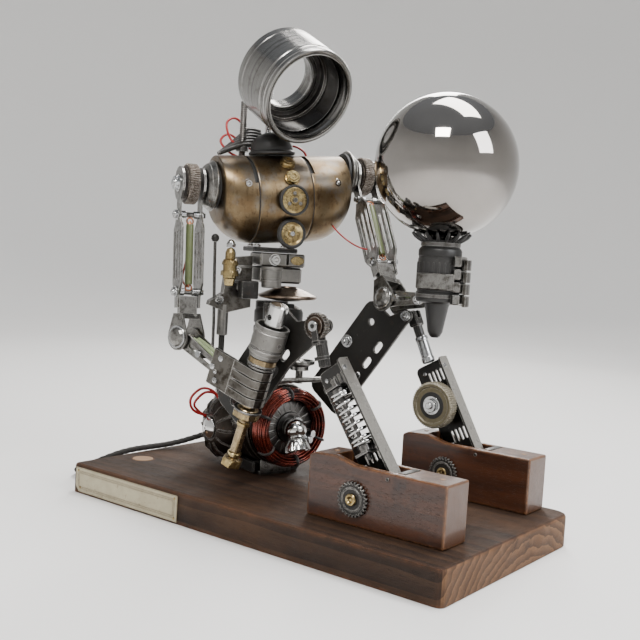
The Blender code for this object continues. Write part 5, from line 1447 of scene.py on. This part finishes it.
def arm_details(side):
    """Wheels, nuts, sleeves and wires on one arm."""
    shoulder, elbow, wrist, level = arm_frames(side)
    sign = ARMS[side]["sign"]
    twist = ARMS[side]["twist"]
    long = ARMS[side]["forearm"]
    outer = sideways(sign)
    inner = sideways(-sign)
    upper = f"{side}_upper_arm"
    wheel = [(gear(19, 56, 0.8, -5, 5, 0.8, 3.4), X_AXIS), (washer(14.5, 12, -5.6, -4.8, 48), X_AXIS),
             (washer(14.5, 12, 4.8, 5.6, 48), X_AXIS)]
    piece(f"{side}_shoulder_knurl", wheel, "brown_wheel", shoulder, body=upper,
          replaces=(f"{side}_shoulder_wheel",))
    nuts = moved(bolt(12, 4, 8, 1.6), at(sign * 11.1, 0, 0) @ outer)
    for z in (-29, -101):
        nuts += moved(bolt(7.6, 3, 5.4, 1.4), at(sign * 11.1, 0, z) @ outer)
        nuts += moved([lathe([(0, 0), (4.2, 0), (4, 1.4), (2.6, 2.6), (0, 3)], 24)],
                      at(-sign * 11.1, 0, z) @ inner)
    for x in (-6.6, 6.6):
        nuts += [(disc(3.6, -3, 3, 20), at(x, 0, -29) @ X_AXIS),
                 (disc(3.6, -3, 3, 20), at(x, 0, -101) @ X_AXIS)]
    piece(f"{side}_arm_nuts", nuts, ZINC, shoulder, body=upper)
    sleeve = [(lathe([(1.7, -94), (3.4, -94), (3.6, -93), (3.6, -39), (3.4, -38), (1.7, -38)], 24),
               at(0, -2, 0))]
    piece(f"{side}_arm_sleeve", sleeve, GREEN_TUBE, shoulder, body=upper)
    circle = [(3 * cos(a), 0, 3 * sin(a)) for a in (tau * k / 20 for k in range(20))]
    eyes = [(tube(circle, 0.8, 8, closed=True), at(0, -2, z)) for z in (-35, -97)]
    eyes.append((disc(1.3, -97, -35, 12), at(0, -2, 0)))
    piece(f"{side}_arm_eyes", eyes, COPPER_ROD, shoulder, body=upper, sharp=70)
    loop = [(0, 4, -40), (3, 12, -52), (2, 15, -70), (-2, 12, -88), (0, 4, -96)]
    piece(f"{side}_arm_wire", tube(smooth_route(loop, 8), 1, 8), ORANGE_WIRE, shoulder, body=upper, sharp=70)

    joint = shoulder @ at(0, 0, -UPPER_ARM, twist)
    dome = lathe([(2.2, 14.4), (6, 14.4), (6.4, 15.2), (5.6, 17.2), (3.4, 18.4), (2.4, 18), (2.2, 16)], 32)
    domes = moved([dome, disc(2.3, 14, 16.2, 16)], X_AXIS)
    domes += moved([washer(10.6, 8.8, 12.2, 13.2, 40)], X_BACK)
    piece(f"{side}_elbow_domes", domes, ZINC, joint, body=upper)
    seat = [(washer(7.6, 3.7, 8.6, 9.9, 36), X_AXIS), (washer(7.6, 3.7, -9.9, -8.6, 36), X_AXIS)]
    piece(f"{side}_elbow_washers", seat, "brass", joint, body=upper)

    tubes = [tube([(x, -12, 4.4), (x * 1.05, -long / 2, 5.4), (x, -long + 9, 4)], 2.4, 14) for x in (-3.2, 3.2)]
    piece(f"{side}_forearm_sleeves", tubes, PALE_TUBE, elbow, body=f"{side}_forearm", sharp=60)
    ends = [(hexagon(6.4, 0, 2.4), at(s * 8.6, -long + 29, 0) @ sideways(s)) for s in (-1, 1)]
    piece(f"{side}_forearm_screws", ends, ZINC, elbow, body=f"{side}_forearm")
    pins = []
    for s in (-1, 1):
        pins += moved(bolt(6.8, 2.6, 4.6, 1.2), wrist.inverted() @ level @ at(s * 9.7, 0, 0) @ sideways(s))
    piece(f"{side}_wrist_nuts", pins, ZINC, wrist, body=f"{side}_hand")


def palm_screw():
    """A hollow-headed screw standing on z = 0, as a list of shapes."""
    return [lathe([(1, 0), (2.9, 0), (2.7, 1.1), (1.8, 1.7), (1, 1.7)], 22), disc(1.1, 0, 1, 12, 0.1)]


def hand_details():
    """Screws on both palms, and the left hand's fingers and their band, bent round the lampholder."""
    palm = arm_frames("right")[3] @ at(-10.6, 0, 4, 0, 17.5)
    screws = []
    for y, z in ((-4, 10.5), (-4, -10.5), (3, 0)):
        screws += moved(palm_screw(), palm @ at(-3, y, z) @ X_BACK)
    piece("right_palm_screws", screws, ZINC, body="right_hand")
    palm = arm_frames("left")[3] @ at(11, 0, 18)
    screws = []
    for z in (14, -14):
        screws += moved(palm_screw(), palm @ at(3, -4, z) @ X_AXIS)
    piece("left_palm_screws", screws, ZINC, body="left_hand")
    tips = []
    for k in range(4):
        low = 204.5 + 11 * k
        for start, end, inside, outside, ease in ((-108, -36, 20.2, 24, 0), (-116, -92, 20.2, 26.2, 1)):
            rings = []
            for n in range(13):
                a = radians(start + (end - start) * n / 12)
                fade = 1 - ease * 0.35 * abs(n - 6) / 6
                out = inside + (outside - inside) * fade
                section = ((inside, low + 0.4), (out - 1, low), (out, low + 1.2), (out, low + 7.4),
                           (out - 1, low + 8.6), (inside, low + 8.2))
                rings.append([(r * cos(a), r * sin(a), z) for r, z in section])
            tips.append(loft(rings))
    band = []
    section = ((19.6, 217), (22.6, 216.6), (23.4, 217.6), (23.4, 229.6), (22.6, 230.6), (19.6, 230.2))
    for n in range(25):
        a = radians(-205 + 90 * n / 24)
        band.append([(r * cos(a), r * sin(a), z) for r, z in section])
    tips.append(loft(band))
    piece("left_fingers", tips, "steel", at(LAMP.x, LAMP.y, 0), body="left_hand")


def piston_details():
    """The piston's body, rings and oil ports, and the brass rod's knurl, hexagon and collars."""
    place = along((-63, 41.6, 55.4), (-63, -1.3, 191.6))
    crown = [(0, 98.9), (12.2, 98.9), (13, 99.4), (13.4, 100.4), (13.4, 102.6), (14.6, 103), (15, 103.6),
             (15, 106.6), (14.6, 107), (14, 107.1), (14, 108.9), (14.6, 109), (15, 109.4), (15, 122.6),
             (14.7, 123), (14.7, 123.8), (15, 124.2), (15, 127.4), (14.6, 128), (13.6, 128), (13.2, 127.6),
             (13.2, 119.2), (0, 119.2)]
    piece("piston_body", lathe(crown, 64), "cast_alloy", place, body="right_hand", replaces=("piston_crown",))
    rings = [washer(14.7, 13.8, 107.3, 108.7, 56)]
    for a in (-100, 20, 140):
        rings.append((lathe([(0, 14.6), (2.1, 14.6), (2.1, 15.12), (0, 15.12)], 20), at(0, 0, 115, a) @ X_AXIS))
    piece("piston_rings", rings, DARK_STEEL, place, body="right_hand")
    knurl = [hexagon(16.6, -6.6, 0.6), hexagon(21.5, 41.5, 47.5), washer(6.2, 4.6, 4, 6.5, 32),
             washer(6, 4.6, 33, 36, 32)]
    piece("piston_rod_knurl", knurl, "brass", place, body="right_hand")
    collar = [washer(12.8, 9, 47.6, 49.4, 40)]
    collar += [washer(wide, 7.2, z, z + 1.8, 40) for wide, z in ((9, 54), (12.2, 89), (13.2, 92))]
    collar.append(washer(9.6, 8.4, 119.6, 121.6, 40))
    piece("piston_collars", collar, DARK_STEEL, place, body="right_hand")


def lamp_details():
    """The lampholder's ribs, seams and pronged collar, and the bulb's smooth globe."""
    place = at(LAMP.x, LAMP.y, 0)
    body = [(0, 174), (3.2, 174.2), (4.6, 175.4), (6.6, 179), (8.4, 190), (10.6, 202), (11.6, 204.2),
            (17.6, 205.4), (18.8, 206.4), (19, 208), (19, 214), (18.3, 214.6), (18.3, 216), (19, 216.6),
            (19, 243), (18.4, 243.6), (18.4, 245), (19, 245.6), (19, 250.4), (18, 252.4), (16.8, 253.4),
            (16.8, 258.6), (18, 259.4), (15.9, 259.6), (15.5, 258), (15.4, 240), (0, 240)]
    shapes = [lathe(body, 64)]
    for k in range(24):
        shapes.append((box((-0.8, 18.4, 219), (0.8, 19.6, 240), 0.4), spin(tau * k / 24)))
    for k in range(16):
        a = tau * k / 16
        shapes.append((tube([(16.6, 0, 258.6), (19.6, 0, 260.4), (23, 0, 262.6), (25.6, 0, 265.6)],
                            [1.5, 1.7, 1.6, 1.2], 8), spin(a)))
    piece("lampholder_body", shapes, "black_plastic", place, body="left_hand", replaces=("lampholder",))
    ring = [washer(17.4, 15.6, 254, 257.6, 48), washer(19.5, 18.2, 209.4, 212.6, 56)]
    piece("lampholder_rings", ring, DARK_STEEL, place, body="left_hand")
    r, wall, neck = GLOBE_RADIUS, 1, 14
    start = -90 + degrees(asin(neck / r)) + 4
    steps = 72
    angles = [radians(start + (90 - start) * k / steps) for k in range(steps)]
    outer = [(r * cos(a), r * sin(a)) for a in angles]
    inner = [((r - wall) * cos(a), (r - wall) * sin(a)) for a in angles]
    bottom = 241 - GLOBE_Z
    throat = [(neck + 1.6, -60.6), (neck + 0.4, -62.6), (neck, -65), (neck, bottom)]
    back = [(neck - wall, bottom), (neck - wall, -64.4), (neck, -61)]
    profile = [(0, r)] + outer[::-1] + throat + back + inner + [(0, r - wall)]
    piece("globe", lathe(profile, 144), "mirror_glass", place @ at(0, 0, GLOBE_Z), body="globe",
          replaces=("globe_bulb",))
    cap = [(0, bottom + 0.2), (4, bottom + 0.2), (5, bottom + 2), (11, bottom + 4), (12.4, bottom + 5),
           (12.6, bottom + 15), (0, bottom + 15)]
    piece("globe_cap", lathe(cap, 48), "brass", place @ at(0, 0, GLOBE_Z), body="globe")


def main():
    studio()
    lead()
    paint_nodes()
    plank_details()
    for side in ("right", "left"):
        foot_details(side)
        arm_details(side)
    spring_and_plates()
    big_wheel()
    knee_details()
    windings()
    rotor_and_housing()
    pinion_details()
    hip_details()
    motor_wires()
    waist_details()
    dials()
    torso_shells()
    torso_details()
    neck()
    head()
    hand_details()
    piston_details()
    lamp_details()


main()
